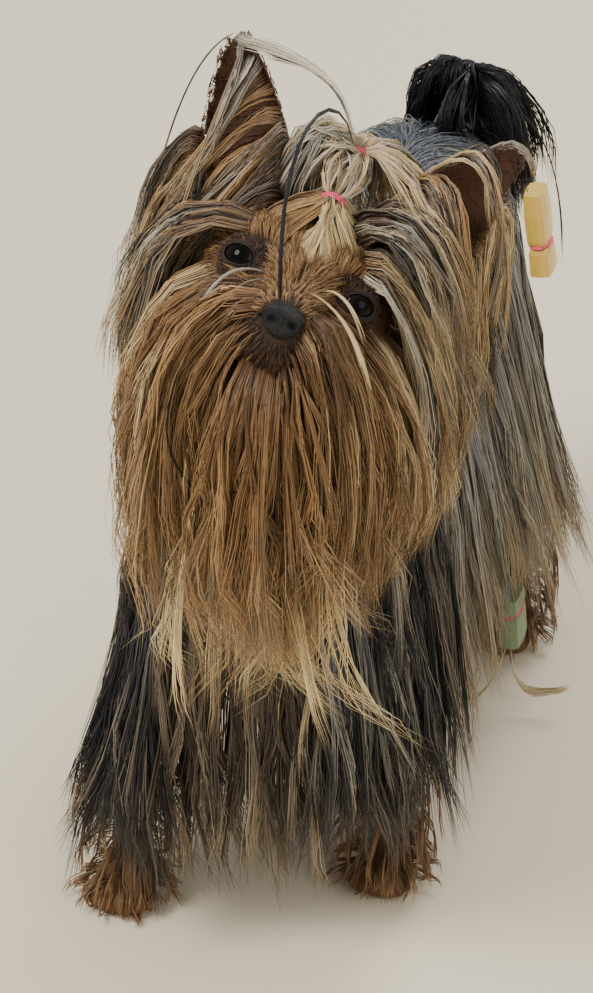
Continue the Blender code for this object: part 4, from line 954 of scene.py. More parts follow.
def patch_place(side, corners, combs):
    """Short fur on a patch of the head, from its four corners and how it is combed at each."""
    def on_head(points):
        return [HEAD_AXES @ np.array((side * p[0], p[1], p[2])) for p in in_metres(points)]
    spots = [np.array(HEAD_CENTRE) + p for p in on_head(corners)]
    steps = on_head(combs)

    def place(t, s):
        return lying(bilinear(spots, t, s), bilinear(steps, t, s))
    return place


def nose_fur_place(begin, end):
    """Short fur round the nose leather between two angles, lying away from it."""
    def place(t, s):
        a = np.radians(begin + (end - begin) * t)
        round_nose = np.stack((np.cos(a), a * 0, np.sin(a)), axis=1)
        roots = np.array(NOSE) + round_nose * (0.0062 + 0.0045 * s)[:, None]
        roots[:, 1] += -0.0030 + 0.007 * s
        step = (round_nose * 0.0075 + np.array((0, 0.0035, -0.0020))) @ HEAD_AXES.T
        return lying(np.array(HEAD_CENTRE) + roots @ HEAD_AXES.T, step)
    return place


# One half of the back of the skull: the corners of its hair, and how far it falls from its root
NAPE_CORNERS = ((0, 14, 24), (0, 30, 6), (26, 8, 12), (28, 12, -12))
NAPE_FALLS = ((3, 12, 4), (7, 26, -16), (8, 32, -46))


def nape_place(side):
    """Long hair of one side of the back of the skull, hanging over the neck."""
    spots = [HEAD @ on_side(p, side) for p in in_metres(NAPE_CORNERS)]
    falls = [np.array((side * x, y, z)) for x, y, z in in_metres(NAPE_FALLS)]

    def place(t, s):
        roots = bilinear([tuple(p) for p in spots], t, s)
        return [roots, *[roots + fall for fall in falls]]
    return place


def eye_fur_place(side):
    """Short dark fur round an eye, lying away from it."""
    look, across, up = eye_axes(side)
    middle = np.array(HEAD @ on_side(EYE, side))

    def place(t, s):
        a = math.tau * t
        spoke = np.cos(a)[:, None] * across * 1.35 + np.sin(a)[:, None] * up * 0.85
        roots = middle + look * 0.0046 + spoke * (0.0040 + 0.0052 * s)[:, None]
        return lying(roots, spoke * 0.0026 + across * side * 0.0018 + up * 0.0006 - look * 0.0014, look)
    return place


# Fur of one side of the face, on the head's own axes: count, colours, corners and how it is
# combed at each corner
FACE_HAIR = (
    # Bridge of the nose, up to the brow and out to the side
    (480, "bridge", (
        ((0.4, -51.5, 0), (6.5, -50.5, -2), (0.4, -33.5, 8), (8, -33.5, 6)),
        ((0.5, 8, 4), (6, 6, 1), (1, 7, 7), (6, 5, 4)),
    )),
    # Forehead up into the fan under the first band
    (560, "forehead", (
        ((0.4, -32.5, 9), (11, -30, 9), (0.4, -23.5, 17), (13, -21.5, 16)),
        ((0, 6, 11), (1, 6, 11), (0, 4, 12), (-3, 6, 12)),
    )),
    # Side of the muzzle, out over the moustache
    (520, "face", (
        ((7, -50.5, -2), (12.5, -34.5, 3), (9, -50, -12), (16.5, -33, -8)),
        ((12, 0, -1), (12, 4, -4), (13, -1, -10), (12, 3, -12)),
    )),
    # Upper lip
    (260, "muzzle", (
        ((0.4, -55.5, -15), (9, -53.5, -12), (0.4, -54.5, -19), (10, -50, -19)),
        ((2, -1, -9), (9, 1, -7), (2, 0, -10), (8, 2, -9)),
    )),
    # Chin
    (300, "chin", (
        ((0.4, -52, -23), (8.5, -47, -22), (0.4, -40, -27), (8.5, -34, -27)),
        ((0, -4, -14), (5, -3, -14), (0, -3, -16), (5, -2, -17)),
    )),
    # Under the eye and over the cheek
    (420, "face", (
        ((15, -34, -3), (28.5, -17, -1), (17.5, -31, -13), (29, -15, -13)),
        ((12, 1, -7), (9, 6, -10), (11, 1, -12), (7, 5, -15)),
    )),
    # Temple
    (260, "face", (
        ((26.5, -20, 9), (31, -6, 8), (27, -20, -3), (31, -6, -4)),
        ((6, 9, 0), (3, 10, -2), (5, 9, -6), (2, 9, -7)),
    )),
    # Over the eye, out to the temple
    (700, "forehead", (
        ((12, -29, 12), (29, -14, 9), (12, -21, 19), (24, -6, 19)),
        ((2, 5, 9), (8, 8, 0), (-1, 8, 10), (7, 10, 2)),
    )),
)


# Black hair of each shoulder, the hair of the chest, and the hair of the rump
SHOULDERS = {
    -1: (
        ((-20, -44, 182), (-28, -66, 150), (-28, -67, 85), (-16, -64, 20)),
        ((-40, -8, 190), (-46, -12, 150), (-46, -24, 80), (-79, -38, 5)),
        ((-18, -46, 140), (-26, -66, 115), (-28, -64, 75), (-26, -62, 36)),
        ((-38, -14, 130), (-46, -20, 105), (-48, -28, 65), (-64, -40, 22)),
    ),
    1: (
        ((24, -43, 182), (34, -64, 150), (38, -60, 85), (30, -50, 34)),
        ((40, -8, 190), (54, -12, 150), (54, -12, 85), (64, -2, 24)),
        ((22, -45, 140), (32, -64, 115), (38, -58, 85), (34, -46, 54)),
        ((38, -14, 130), (52, -18, 110), (55, -18, 80), (62, -10, 42)),
    ),
}
CHEST = (
    ((-24, -46, 165), (-28, -66, 130), (-28, -62, 80), (-26, -54, 22)),
    ((24, -46, 165), (28, -66, 130), (28, -60, 80), (30, -46, 24)),
    ((-20, -26, 112), (-22, -40, 85), (-22, -36, 50), (-22, -26, 8)),
    ((20, -26, 112), (22, -38, 85), (22, -32, 50), (22, -18, 8)),
)
RUMP = (
    ((-26, 188, 205), (-44, 206, 170), (-40, 214, 80), (-56, 214, 18)),
    ((26, 188, 205), (42, 206, 170), (40, 216, 80), (64, 220, 14)),
    ((-28, 206, 148), (-34, 222, 120), (-34, 220, 80), (-40, 214, 44)),
    ((28, 206, 148), (32, 222, 120), (34, 222, 80), (46, 220, 40)),
)
# Hair along the spine, lying back and to both sides
BACK = (
    ((-4, 12, 207), (-8, 32, 214), (-20, 56, 214), (-36, 80, 204)),
    ((-4, 190, 208), (-14, 204, 224), (-30, 212, 206), (-38, 214, 176)),
    ((4, 12, 207), (8, 32, 214), (20, 56, 214), (36, 80, 204)),
    ((4, 190, 208), (14, 204, 224), (30, 212, 206), (38, 214, 176)),
)
# Tail hair: over its back to the left, to the right of its root, and close round the top
TAIL_HAIR = (
    (560, (
        ((0, 214, 194), (6, 228, 200), (16, 230, 180), (20, 224, 150)),
        ((16, 202, 229), (30, 212, 232), (38, 218, 206), (40, 216, 166)),
    ), (0, 1, 0)),
    (500, (
        ((6, 206, 196), (16, 206, 204), (26, 206, 190), (28, 204, 160)),
        ((18, 200, 229), (31, 194, 230), (37, 194, 212), (38, 198, 176)),
    ), (1, 0, 0)),
    (480, (
        ((0, 210, 194), (-8, 212, 206), (-9, 204, 198), (-4, 198, 182)),
        ((14, 204, 228), (2, 206, 238), (-8, 203, 226), (-5, 200, 200)),
    ), (-1, 0, 0)),
    (480, (
        ((0, 206, 190), (0, 196, 204), (2, 188, 198), (4, 188, 180)),
        ((14, 204, 228), (14, 190, 236), (10, 184, 222), (12, 186, 196)),
    ), (0, -1, 0)),
    (300, (
        ((8, 212, 220), (4, 206, 234), (-4, 200, 234), (-7, 198, 210)),
        ((17, 201, 228), (22, 200, 234), (34, 202, 232), (39, 206, 202)),
    ), (0, 0, 1)),
)
# Neck hair: nape, withers, each side and the throat
NECK_HAIR = (
    (520, "nape", (0, 1, 0.8), (
        ((-6, -10, 268), (-18, 8, 264), (-24, 22, 240), (-26, 34, 212)),
        ((36, -14, 266), (46, 4, 262), (50, 16, 240), (48, 26, 210)),
        ((-22, 4, 236), (-30, 20, 230), (-34, 40, 212), (-38, 58, 196)),
        ((36, 2, 234), (44, 18, 228), (46, 38, 212), (46, 56, 196)),
    )),
    (480, "steel", (0, 0.4, 1), (
        ((-26, 4, 222), (-32, 24, 218), (-40, 46, 204), (-46, 66, 184)),
        ((34, 4, 222), (38, 24, 218), (42, 46, 204), (46, 66, 184)),
        ((-28, 20, 200), (-36, 36, 200), (-46, 56, 180), (-50, 70, 150)),
        ((30, 20, 200), (38, 36, 200), (47, 56, 180), (51, 70, 150)),
    )),
    (380, "black", (1, -0.3, 0.2), (
        ((34, 8, 228), (48, 16, 205), (54, 20, 165), (54, 22, 112)),
        ((34, -34, 228), (46, -42, 205), (52, -46, 165), (50, -40, 112)),
        ((36, 12, 196), (48, 16, 175), (53, 18, 135), (54, 20, 90)),
        ((34, -30, 196), (46, -36, 175), (52, -38, 135), (52, -34, 90)),
    )),
    (380, "raven", (-1, -0.3, 0.2), (
        ((-30, 8, 228), (-38, 16, 205), (-44, 18, 165), (-46, 18, 112)),
        ((-22, -34, 228), (-30, -44, 205), (-36, -48, 165), (-38, -44, 112)),
        ((-34, 12, 196), (-42, 16, 175), (-46, 14, 135), (-48, 14, 90)),
        ((-30, -30, 196), (-36, -38, 175), (-40, -42, 135), (-42, -38, 90)),
    )),
    (380, "neck", (-1, 0, 0.3), (
        ((-16, 4, 268), (-26, 14, 262), (-36, 20, 235), (-42, 22, 190)),
        ((-8, -36, 262), (-20, -42, 256), (-32, -40, 230), (-36, -36, 186)),
        ((-24, 6, 246), (-34, 14, 238), (-41, 18, 212), (-46, 18, 165)),
        ((-16, -36, 242), (-26, -42, 232), (-36, -42, 205), (-40, -38, 160)),
    )),
    (380, "neck", (1, 0, 0.3), (
        ((38, 0, 266), (48, 10, 258), (54, 16, 232), (55, 20, 188)),
        ((36, -36, 262), (48, -42, 252), (54, -42, 225), (53, -38, 182)),
        ((36, 6, 244), (48, 14, 232), (54, 18, 205), (55, 20, 160)),
        ((34, -34, 240), (46, -40, 228), (53, -40, 200), (53, -38, 158)),
    )),
    (380, "chest", (0, -1, 0), (
        ((-14, -44, 230), (-22, -64, 205), (-28, -70, 165), (-28, -66, 110)),
        ((30, -44, 230), (38, -64, 205), (40, -70, 165), (36, -62, 110)),
        ((-20, -36, 192), (-24, -60, 165), (-26, -66, 125), (-24, -60, 80)),
        ((26, -36, 192), (30, -60, 165), (32, -66, 125), (30, -56, 80)),
    )),
)
# Bands of the beard, the moustache and the cheeks, their roots on the head's own axes and the rest
# in the dog's
BEARD = (
    (800, (
        ((-18, -6, -24), (-10, -92, 226), (-18, -80, 180), (-6, -70, 142)),
        ((18, -6, -24), (50, -88, 215), (56, -76, 180), (46, -64, 146)),
        ((-14, -26, -26), (-4, -108, 236), (-10, -90, 186), (0, -80, 146)),
        ((14, -26, -26), (50, -104, 226), (52, -88, 180), (42, -78, 142)),
    )),
    (1100, (
        ((-12, -30, -26), (0, -116, 244), (-8, -96, 190), (4, -84, 150)),
        ((12, -30, -26), (48, -112, 236), (48, -94, 184), (38, -84, 144)),
        ((-6, -48, -24), (12, -128, 246), (8, -110, 196), (12, -92, 150)),
        ((6, -48, -24), (40, -126, 242), (38, -108, 194), (30, -92, 146)),
    )),
    (700, (
        ((-8, -50, -22), (14, -138, 266), (10, -120, 212), (12, -100, 160)),
        ((8, -50, -22), (44, -138, 262), (42, -118, 210), (32, -98, 158)),
    )),
    (260, (
        ((4, -53, -19), (39, -134, 276), (40, -122, 232), (34, -100, 172)),
        ((8, -51, -17), (48, -132, 280), (50, -118, 236), (40, -96, 178)),
        ((4, -51, -20), (36, -130, 268), (36, -118, 222), (30, -98, 165)),
        ((10, -49, -18), (50, -128, 272), (48, -112, 228), (38, -92, 170)),
    )),
)
# Long pointed locks at the hem of the beard
BEARD_LOCKS = (
    ((-12, -34, -26), (-4, -116, 240), (-16, -98, 184), (-4, -80, 130)),
    ((12, -34, -26), (50, -112, 230), (40, -96, 176), (54, -76, 128)),
)
MOUSTACHE = (
    (1400, -1, (
        ((-5, -54, -16), (10, -124, 280), (2, -106, 215), (6, -92, 168)),
        ((-14, -34, -16), (-12, -104, 276), (-26, -90, 218), (-8, -78, 164)),
        ((-5, -52, 1), (-2, -122, 322), (-24, -106, 238), (-6, -88, 164)),
        ((-14, -34, 2), (-22, -102, 312), (-40, -85, 216), (-16, -74, 164)),
    )),
    (1400, 1, (
        ((5, -54, -16), (48, -126, 278), (48, -110, 222), (28, -94, 178)),
        ((14, -34, -16), (60, -110, 262), (64, -92, 208), (44, -80, 168)),
        ((5, -52, 1), (62, -126, 310), (64, -108, 232), (38, -92, 172)),
        ((14, -34, 2), (74, -108, 290), (77, -87, 216), (50, -74, 176)),
    )),
)
CHEEKS = (
    (950, "cheek", (-1, -0.4, 0), (
        ((-22, -22, -14), (-24, -96, 266), (-32, -80, 215), (-14, -72, 168)),
        ((-28, 14, -12), (-28, -56, 250), (-36, -46, 215), (-28, -42, 182)),
        ((-24, -22, 0), (-28, -88, 290), (-37, -74, 230), (-20, -66, 176)),
        ((-29, 10, 4), (-30, -52, 270), (-39, -40, 228), (-33, -34, 192)),
    )),
    (900, "fall", (-1, -0.4, 0), (
        ((-18, -26, 12), (-14, -90, 314), (-32, -74, 270), (-30, -66, 212)),
        ((-26, 0, 16), (-22, -54, 298), (-36, -44, 262), (-37, -40, 212)),
        ((-16, -20, 20), (-16, -78, 320), (-34, -62, 285), (-36, -56, 228)),
        ((-20, -4, 24), (-14, -48, 320), (-36, -36, 288), (-40, -30, 230)),
    )),
    (950, "cheek", (1, -0.4, 0), (
        ((22, -22, -14), (62, -94, 250), (68, -80, 208), (48, -70, 172)),
        ((28, 14, -12), (62, -50, 240), (70, -40, 210), (56, -34, 178)),
        ((24, -22, 0), (72, -90, 272), (77, -74, 216), (52, -62, 176)),
        ((29, 10, 4), (70, -44, 258), (77, -34, 220), (60, -26, 186)),
    )),
    (950, "silver_cheek", (1, -0.4, 0), (
        ((18, -26, 12), (64, -88, 300), (76, -76, 250), (60, -66, 188)),
        ((26, 0, 16), (68, -48, 282), (79, -40, 240), (66, -32, 190)),
        ((12, -18, 22), (62, -76, 314), (78, -66, 262), (66, -56, 204)),
        ((18, -2, 26), (62, -40, 304), (80, -34, 262), (70, -28, 206)),
    )),
)
# Falls from each ear: count, the stretch up it, the stretch across it, palette, and the pulling
# points and tips of the key strands
EAR_HAIR = {
    -1: (
        (620, (0.0, 0.50), (0.88, 1.0), "fall", (
            ((-20, -40, 312), (-36, -44, 282), (-35, -46, 230)),
            ((-24, -30, 326), (-37, -36, 302), (-40, -40, 250)),
            ((-15, -50, 310), (-32, -56, 281), (-31, -56, 232)),
            ((-22, -42, 322), (-33, -48, 300), (-35, -50, 248)),
        )),
        (640, (0.0, 0.55), (0.0, 0.16), "gold_fall", (
            ((10, -62, 317), (-6, -66, 304), (-25, -62, 262)),
            ((14, -48, 336), (-1, -60, 318), (-28, -58, 272)),
            ((15, -62, 316), (2, -70, 304), (-19, -66, 256)),
            ((16, -52, 332), (3, -64, 312), (-22, -62, 266)),
        )),
        (120, (0.30, 0.88), (0.0, 0.20), "gold_fall", (
            ((9, -52, 333), (-4, -58, 312), (-22, -56, 282)),
            ((1, -46, 343), (-9, -52, 330), (-25, -54, 296)),
        )),
        (420, (0.0, 0.22), (0.20, 0.95), "gold_fall", (
            ((0, -68, 304), (-14, -70, 292), (-25, -64, 245)),
            ((-10, -54, 316), (-24, -58, 302), (-33, -58, 252)),
        )),
        (60, (0.84, 0.99), (0.10, 0.60), "arch", (
            ((4, -50, 346), (-6, -54, 330), (-10, -58, 300)),
            ((0, -48, 344), (-14, -52, 326), (-18, -56, 296)),
        )),
    ),
    1: (
        (620, (0.0, 0.70), (0.88, 1.0), "cheek", (
            ((66, -40, 258), (72, -38, 225), (58, -38, 190)),
            ((87, -12, 312), (84, -12, 272), (70, -18, 228)),
            ((66, -50, 262), (72, -50, 226), (58, -46, 190)),
            ((82, -26, 302), (79, -28, 262), (66, -32, 228)),
        )),
        (620, (0.0, 0.42), (0.0, 0.16), "gold_fall", (
            ((60, -56, 318), (66, -64, 290), (70, -58, 230)),
            ((68, -40, 336), (74, -52, 304), (78, -50, 240)),
        )),
        (70, (0.30, 0.75), (0.0, 0.30), "silver_cheek", (
            ((71, -38, 334), (80, -40, 326), (84, -42, 300)),
            ((77, -26, 332), (85, -30, 320), (87, -36, 290)),
        )),
    ),
}
# Hair drawn up into the first band, on the head's own axes; each strand ends at the band
BROW = (
    (620, "brow", (
        ((-5, -34, 7), (0, -33, 16), (0, -27, 27)),
        ((10, -34, 7), (0, -33, 16), (0, -27, 27)),
        ((-10, -25, 15), (0, -27, 23), (0, -25, 29)),
        ((14, -25, 15), (0, -27, 23), (0, -25, 29)),
    )),
    (600, "forehead", (
        ((-9, -30, 10), (-4, -28, 23), (0, -24, 30)),
        ((-26, -12, 12), (-14, -16, 29), (-2, -19, 33)),
        ((-12, -16, 21), (-6, -20, 28), (0, -22, 31)),
        ((-20, 0, 23), (-12, -8, 32), (-2, -17, 34)),
    )),
    (600, "brow", (
        ((10, -26, 13), (4, -28, 23), (0, -24, 30)),
        ((26, -12, 12), (14, -16, 29), (2, -19, 33)),
        ((12, -16, 21), (6, -20, 28), (0, -22, 31)),
        ((20, 0, 23), (12, -8, 32), (2, -17, 34)),
    )),
    (400, "nape", (
        ((-18, 6, 23), (-10, 4, 33), (-1, -13, 36)),
        ((18, 6, 23), (10, 4, 33), (1, -13, 36)),
        ((-16, 22, 18), (-8, 12, 34), (-1, -12, 37)),
        ((16, 22, 18), (8, 12, 34), (1, -12, 37)),
    )),
)
# Hair of the crown up to the second band, from there to the left ear, and down behind the band:
# count, palette, how ragged, and strands as for the beard
KNOT_FALL = (
    (520, "crown", 0.05, (
        ((-22, 4, 20), (14, -50, 320), (25, -46, 337), (36, -42, 322)),
        ((-2, -6, 28), (26, -54, 320), (31, -50, 330), (36, -42, 322)),
        ((-20, 20, 16), (9, -36, 322), (22, -36, 336), (36, -42, 322)),
        ((-2, 22, 22), (24, -36, 326), (30, -36, 334), (36, -42, 322)),
    )),
    (520, "silver_cheek", 0.15, (
        ((4, -12, 27), (53, -68, 324), (73, -72, 317), (77, -70, 270)),
        ((16, 16, 20), (49, -40, 323), (70, -46, 321), (81, -48, 265)),
        ((12, -18, 22), (55, -80, 316), (73, -84, 311), (74, -80, 255)),
        ((20, 0, 20), (55, -56, 318), (75, -64, 317), (82, -62, 258)),
    )),
    (420, "knot", 0.15, (
        ((-1.5, -8, 51), (26, -28, 330), (18, -6, 300), (10, 10, 262)),
        ((3, -8, 51), (50, -30, 330), (58, -14, 296), (54, 2, 256)),
    )),
    (320, "knot", 0.15, (
        ((1, -9, 51), (48, -34, 328), (62, -34, 310), (70, -32, 262)),
        ((3, -10, 51), (50, -50, 326), (62, -58, 314), (72, -60, 272)),
    )),
)
# Single locks: count, spread and half width in metres, how ragged, palette, and their line in the
# dog's frame
THIN_LOCKS = (
    (60, 0.0013, 0.00024, 0.02, "jet",
     ((36, -43, 324), (35, -55, 356), (25, -100, 368), (33, -121, 306))),
    (200, 0.0034, 0.00020, 0.06, "arch",
     ((36, -42, 324), (32.5, -38, 352), (11.4, -34, 348), (-9, -31, 350))),
    (110, 0.0034, 0.00020, 0.08, "arch",
     ((36, -42, 324), (32, -40, 341), (23, -38, 350), (2, -40, 352))),
    (22, 0.0014, 0.00020, 0.35, "gold_fall",
     ((-4, -31, 352), (-2, -50, 346), (-10, -58, 325), (-18, -62, 290))),
    (18, 0.0012, 0.00020, 0.35, "arch",
     ((-9, -28, 350), (-22, -34, 344), (-32, -42, 310), (-36, -50, 262))),
    (8, 0.0006, 0.00020, 0.10, "jet",
     ((14, -98, 300), (3, -120, 290), (-12, -122, 254), (4, -116, 230))),
    (8, 0.0006, 0.00020, 0.30, "jet",
     ((44, -102, 296), (47, -124, 280), (50, -124, 245), (47, -116, 214))),
    (10, 0.0010, 0.00020, 0.30, "jet",
     ((28, 205, 215), (50, 206, 206), (57, 206, 160), (50, 200, 120))),
    (40, 0.0020, 0.00022, 0.20, "black",
     ((46, 100, 130), (62, 104, 120), (52, 108, 90), (70, 116, 76))),
    (50, 0.0022, 0.00020, 0.20, "brow",
     ((38, -102, 303), (51, -108, 304), (60, -114, 290), (58, -106, 245))),
    (12, 0.0016, 0.00018, 0.30, "crown",
     ((41, -94, 299), (48, -97, 304), (55, -100, 296), (60, -104, 278))),
    (18, 0.0018, 0.00018, 0.30, "crown",
     ((24, -98, 305), (15, -99, 308), (6, -100, 301), (0, -106, 284))),
    (16, 0.0012, 0.00020, 0.20, "fall",
     ((25, -100, 304), (13, -102, 304), (6, -110, 293), (2, -112, 260))),
)
# Locks held by the paper wraps and the hair below the lower one
WRAPPED = (
    (60, "grey", ((16, 146, 212), (36, 148, 228), (53, 150, 236), (54.5, 150, 214))),
    (60, "grey", ((40, 120, 120), (54, 122, 112), (58, 127, 86), (56, 128, 56))),
    (50, "knot", ((56, 128, 24), (58, 124, 6), (70, 124, 4), (82, 130, 12))),
    (30, "knot", ((54, 128, 24), (50, 122, 6), (44, 118, 4), (36, 116, 6))),
)


# Rows of hair round each lower leg: from and to heights, how far it stands out and how far it hangs
LEG_ROWS = (
    (0.034, 0.086, 0.0150, 0.040),
    (0.012, 0.034, 0.0175, 0.026),
    (0.004, 0.014, 0.0195, 0.011),
)
# The hair gathered between the first band's front and back: locks, and how far they puff out
KNOT_LOCKS = 8
KNOT_PUFF = (0.0085, 0.0070)
# What the velvet of the ears and the fur round the eyes and nose share
VELVET_FUR = {"depth": (0, 0), "rings": 3, "ragged": 0.4, "spread": 0.01}
CLOSE_FUR = {**VELVET_FUR, "wave": (0.0002, 1), "sink": 0.0003, "loose": 0.7}


def grow_body(dice, core):
    """Flanks, shoulders, chest, rump, tail, neck and legs."""
    black = hair_material("coat_black", 0.40, 0.4)
    for side, name, dark, pale, curtain, shoulder in (
        (1, "left", "black", "grey", 2900, 1700), (-1, "right", "raven", "steel", 2000, 1200),
    ):
        coat = Coat()
        for share, front, rear, palette in (
            (0.27, FLANK_START, SHOULDER_END, dark), (0.73, SHOULDER_END, FLANK_END, pale),
        ):
            grow(coat, dice, core, int(curtain * share), flank_place(side, front, rear), palette,
                 (side, 0, 0), depth=(-0.2, 1.8), loose=0.3, spread=0.014, scatter=0.005,
                 wave=(0.0018, 1.6), half_width=0.00029)
        grow(coat, dice, core, shoulder, keyed(SHOULDERS[side]), dark, (side * 0.6, -0.8, 0),
             depth=(0, 1.2), scatter=0.005, wave=(0.0022, 1.8), half_width=0.00027)
        coat.build("coat_flank_" + name, "steel", black)
    coat = Coat()
    grow(coat, dice, core, 1100, keyed(CHEST), "chest", (0, -1, 0), depth=(0, 1), scatter=0.006,
         wave=(0.0026, 1.8), half_width=0.00027)
    grow(coat, dice, core, 1250, keyed(RUMP), "grey", (0, 1, 0), depth=(0, 1.2), scatter=0.006,
         wave=(0.002, 1.6), half_width=0.00029)
    grow(coat, dice, core, 1500, keyed(BACK), "back", (0, 0, 1), depth=(0, 0.5), scatter=0.004,
         wave=(0.0008, 1.2), half_width=0.00026, loose=0.5, flat=0.005)
    coat.build("coat_chest_and_rump", "steel", black)
    coat = Coat()
    for number, strands, away in TAIL_HAIR:
        grow(coat, dice, core, number, keyed(strands), "jet", away, depth=(0, 1), scatter=0.0022,
             rings=5, spread=0.08, wave=(0.0014, 1.2), loose=0.5, half_width=0.00030)
    coat.build("coat_tail", "black", black, "tail")
    coat = Coat()
    for number, palette, away, strands in NECK_HAIR:
        grow(coat, dice, core, number, keyed(strands), palette, away, depth=(0, 1.4),
             half_width=0.00029)
    coat.build("coat_neck", "steel", hair_material("coat_grey"))
    coat = Coat()
    for name in FEET:
        for row in LEG_ROWS:
            grow(coat, dice, core, 260, leg_place(name, *row), "leg", depth=(0, 0.5), rings=4,
                 clump=8, spread=0.02, scatter=0.0024, wave=(0.0010, 1.2), ragged=0.3)
    coat.build("coat_legs", "tan", hair_material("coat_tan"))


def grow_head(dice, core):
    """Beard, moustache, cheeks, brow, topknot, wrapped locks, ears and the short fur of the face."""
    gold = hair_material("coat_gold", 0.48, 0.4)
    coat = Coat()
    for number, strands in BEARD:
        grow(coat, dice, core, number, keyed(strands, head=True), "beard", (0, -1, 0), depth=(0, 1),
             rings=7, scatter=0.007, wave=(0.0042, 1.6), half_width=0.00023, ragged=0.28)
    grow(coat, dice, core, 330, keyed(BEARD_LOCKS, head=True), "brow", (0, -1, 0), depth=(0.4, 1.4),
         rings=8, scatter=0.006, wave=(0.0062, 1.2), clump=15, half_width=0.00022, loose=0.05,
         ragged=0.1)
    coat.build("coat_beard", "tan", gold)
    coat = Coat()
    for number, side, strands in MOUSTACHE:
        grow(coat, dice, core, number, keyed(strands, head=True), "moustache", (side * 0.3, -1, 0),
             depth=(0, 1), rings=7, scatter=0.006, wave=(0.0034, 1.4), half_width=0.00021, ragged=0.3)
    coat.build("coat_moustache", "tan", gold)
    coat = Coat()
    for number, palette, away, strands in CHEEKS:
        grow(coat, dice, core, number, keyed(strands, head=True), palette, away, depth=(0, 1),
             wave=(0.0018, 1.5), half_width=0.00023)
    for side in (1, -1):
        grow(coat, dice, core, 420, nape_place(side), "fall", (side * 0.5, 1, 0), depth=(0, 0.8),
             wave=(0.0016, 1.5), half_width=0.00026)
    coat.build("coat_cheeks", "tan", gold)

    coat = Coat()
    front, back = HEAD @ BAND_FRONT, HEAD @ BAND_BACK
    for number, palette, strands in BROW:
        drawn = [[HEAD @ Vector(p) for p in in_metres(strand)] + [front] for strand in strands]
        grow(coat, dice, core, number, among(drawn), palette, HEAD_AXES[:, 2], depth=(0, 0.2),
             scatter=0.0010, wave=(0.0005, 1), rings=5, clump=10, ragged=0.03, half_width=0.00022)
    across, along = HEAD_AXES[:, 0] * KNOT_PUFF[0], HEAD_AXES[:, 1] * KNOT_PUFF[1]
    for k in range(KNOT_LOCKS):
        a = math.tau * k / KNOT_LOCKS
        swell = Vector(across * math.cos(a) + along * math.sin(a))
        strand = (front, front.lerp(back, 0.25) + swell, front.lerp(back, 0.8) + swell, back)
        grow(coat, dice, core, 70, among((strand, strand)), "knot", HEAD_AXES[:, 2], depth=(0, 0),
             scatter=0.0016, wave=(0.0008, 1), rings=5, clump=10, ragged=0.0, hug=False)
    coat.build("topknot", "cream", gold, "topknot")
    coat = Coat()
    for number, palette, ragged, strands in KNOT_FALL:
        grow(coat, dice, core, number, keyed(strands, head=True), palette, depth=(0, 0.6),
             scatter=0.0026, spread=0.05, wave=(0.0014, 1.4), hug=False, ragged=ragged, clump=12)
    for number, width, half_width, ragged, palette, strand in THIN_LOCKS:
        grow(coat, dice, core, number, keyed((strand, strand)), palette, depth=(0, 0), rings=10,
             clump=number, scatter=width, wave=(0.0004, 1), half_width=half_width, hug=False,
             ragged=ragged)
    coat.build("topknot_fall", "cream", gold)

    coat = Coat()
    for number, palette, strand in WRAPPED:
        grow(coat, dice, core, number, keyed((strand, strand)), palette, depth=(0, 0), rings=7,
             clump=number, scatter=0.0016, wave=(0.0008, 1.2), hug=False, ragged=0.1)
    coat.build("coat_wrapped", "steel", gold)

    for side, name in ((1, "left"), (-1, "right")):
        coat = Coat()
        for number, (low, high), around, palette, strands in EAR_HAIR[side]:
            grow(coat, dice, core, number, ear_place(side, low, high, around, strands), palette,
                 (side, -0.3, 0), depth=(0, 0.8), rings=7, hug=False, spread=0.05,
                 half_width=0.00022, scatter=0.003)
        for inner in (False, True):
            grow(coat, dice, core, 1150, ear_fur_place(side, inner), "velvet", half_width=0.00014,
                 clump=4, scatter=0.0003, wave=(0.0001, 1), hug=False, **VELVET_FUR)
        coat.build("coat_ear_" + name, "ear", gold)

    coat = Coat()
    for side in (1, -1):
        for number, palette, (corners, combs) in FACE_HAIR:
            grow(coat, dice, core, number, patch_place(side, corners, combs), palette,
                 depth=(0, 0.1), rings=3, half_width=0.00018, clump=6, scatter=0.0010,
                 wave=(0.0003, 1.2), ragged=0.3, sink=0.0004, loose=0.7, spread=0.02, flat=0.0020)
        grow(coat, dice, core, 480, eye_fur_place(side), "socket", clump=4, half_width=0.00015,
             scatter=0.0005, flat=0.0008, **CLOSE_FUR)
    for number, begin, end, palette in ((480, 180, 360, "muzzle"), (380, 0, 180, "bridge")):
        grow(coat, dice, core, number, nose_fur_place(begin, end), palette, clump=5,
             half_width=0.00016, scatter=0.0008, flat=0.0012, **CLOSE_FUR)
    coat.build("coat_face", "tan", gold)


# Skin, eyes and nose
TINTS = {"trunk": STEEL, "neck": STEEL, "tail": BLACK, "ear_left": VELVET, "ear_right": VELVET}
GROOVE_DEPTH = 0.0007
NOSTRIL_DEPTH = 0.0022


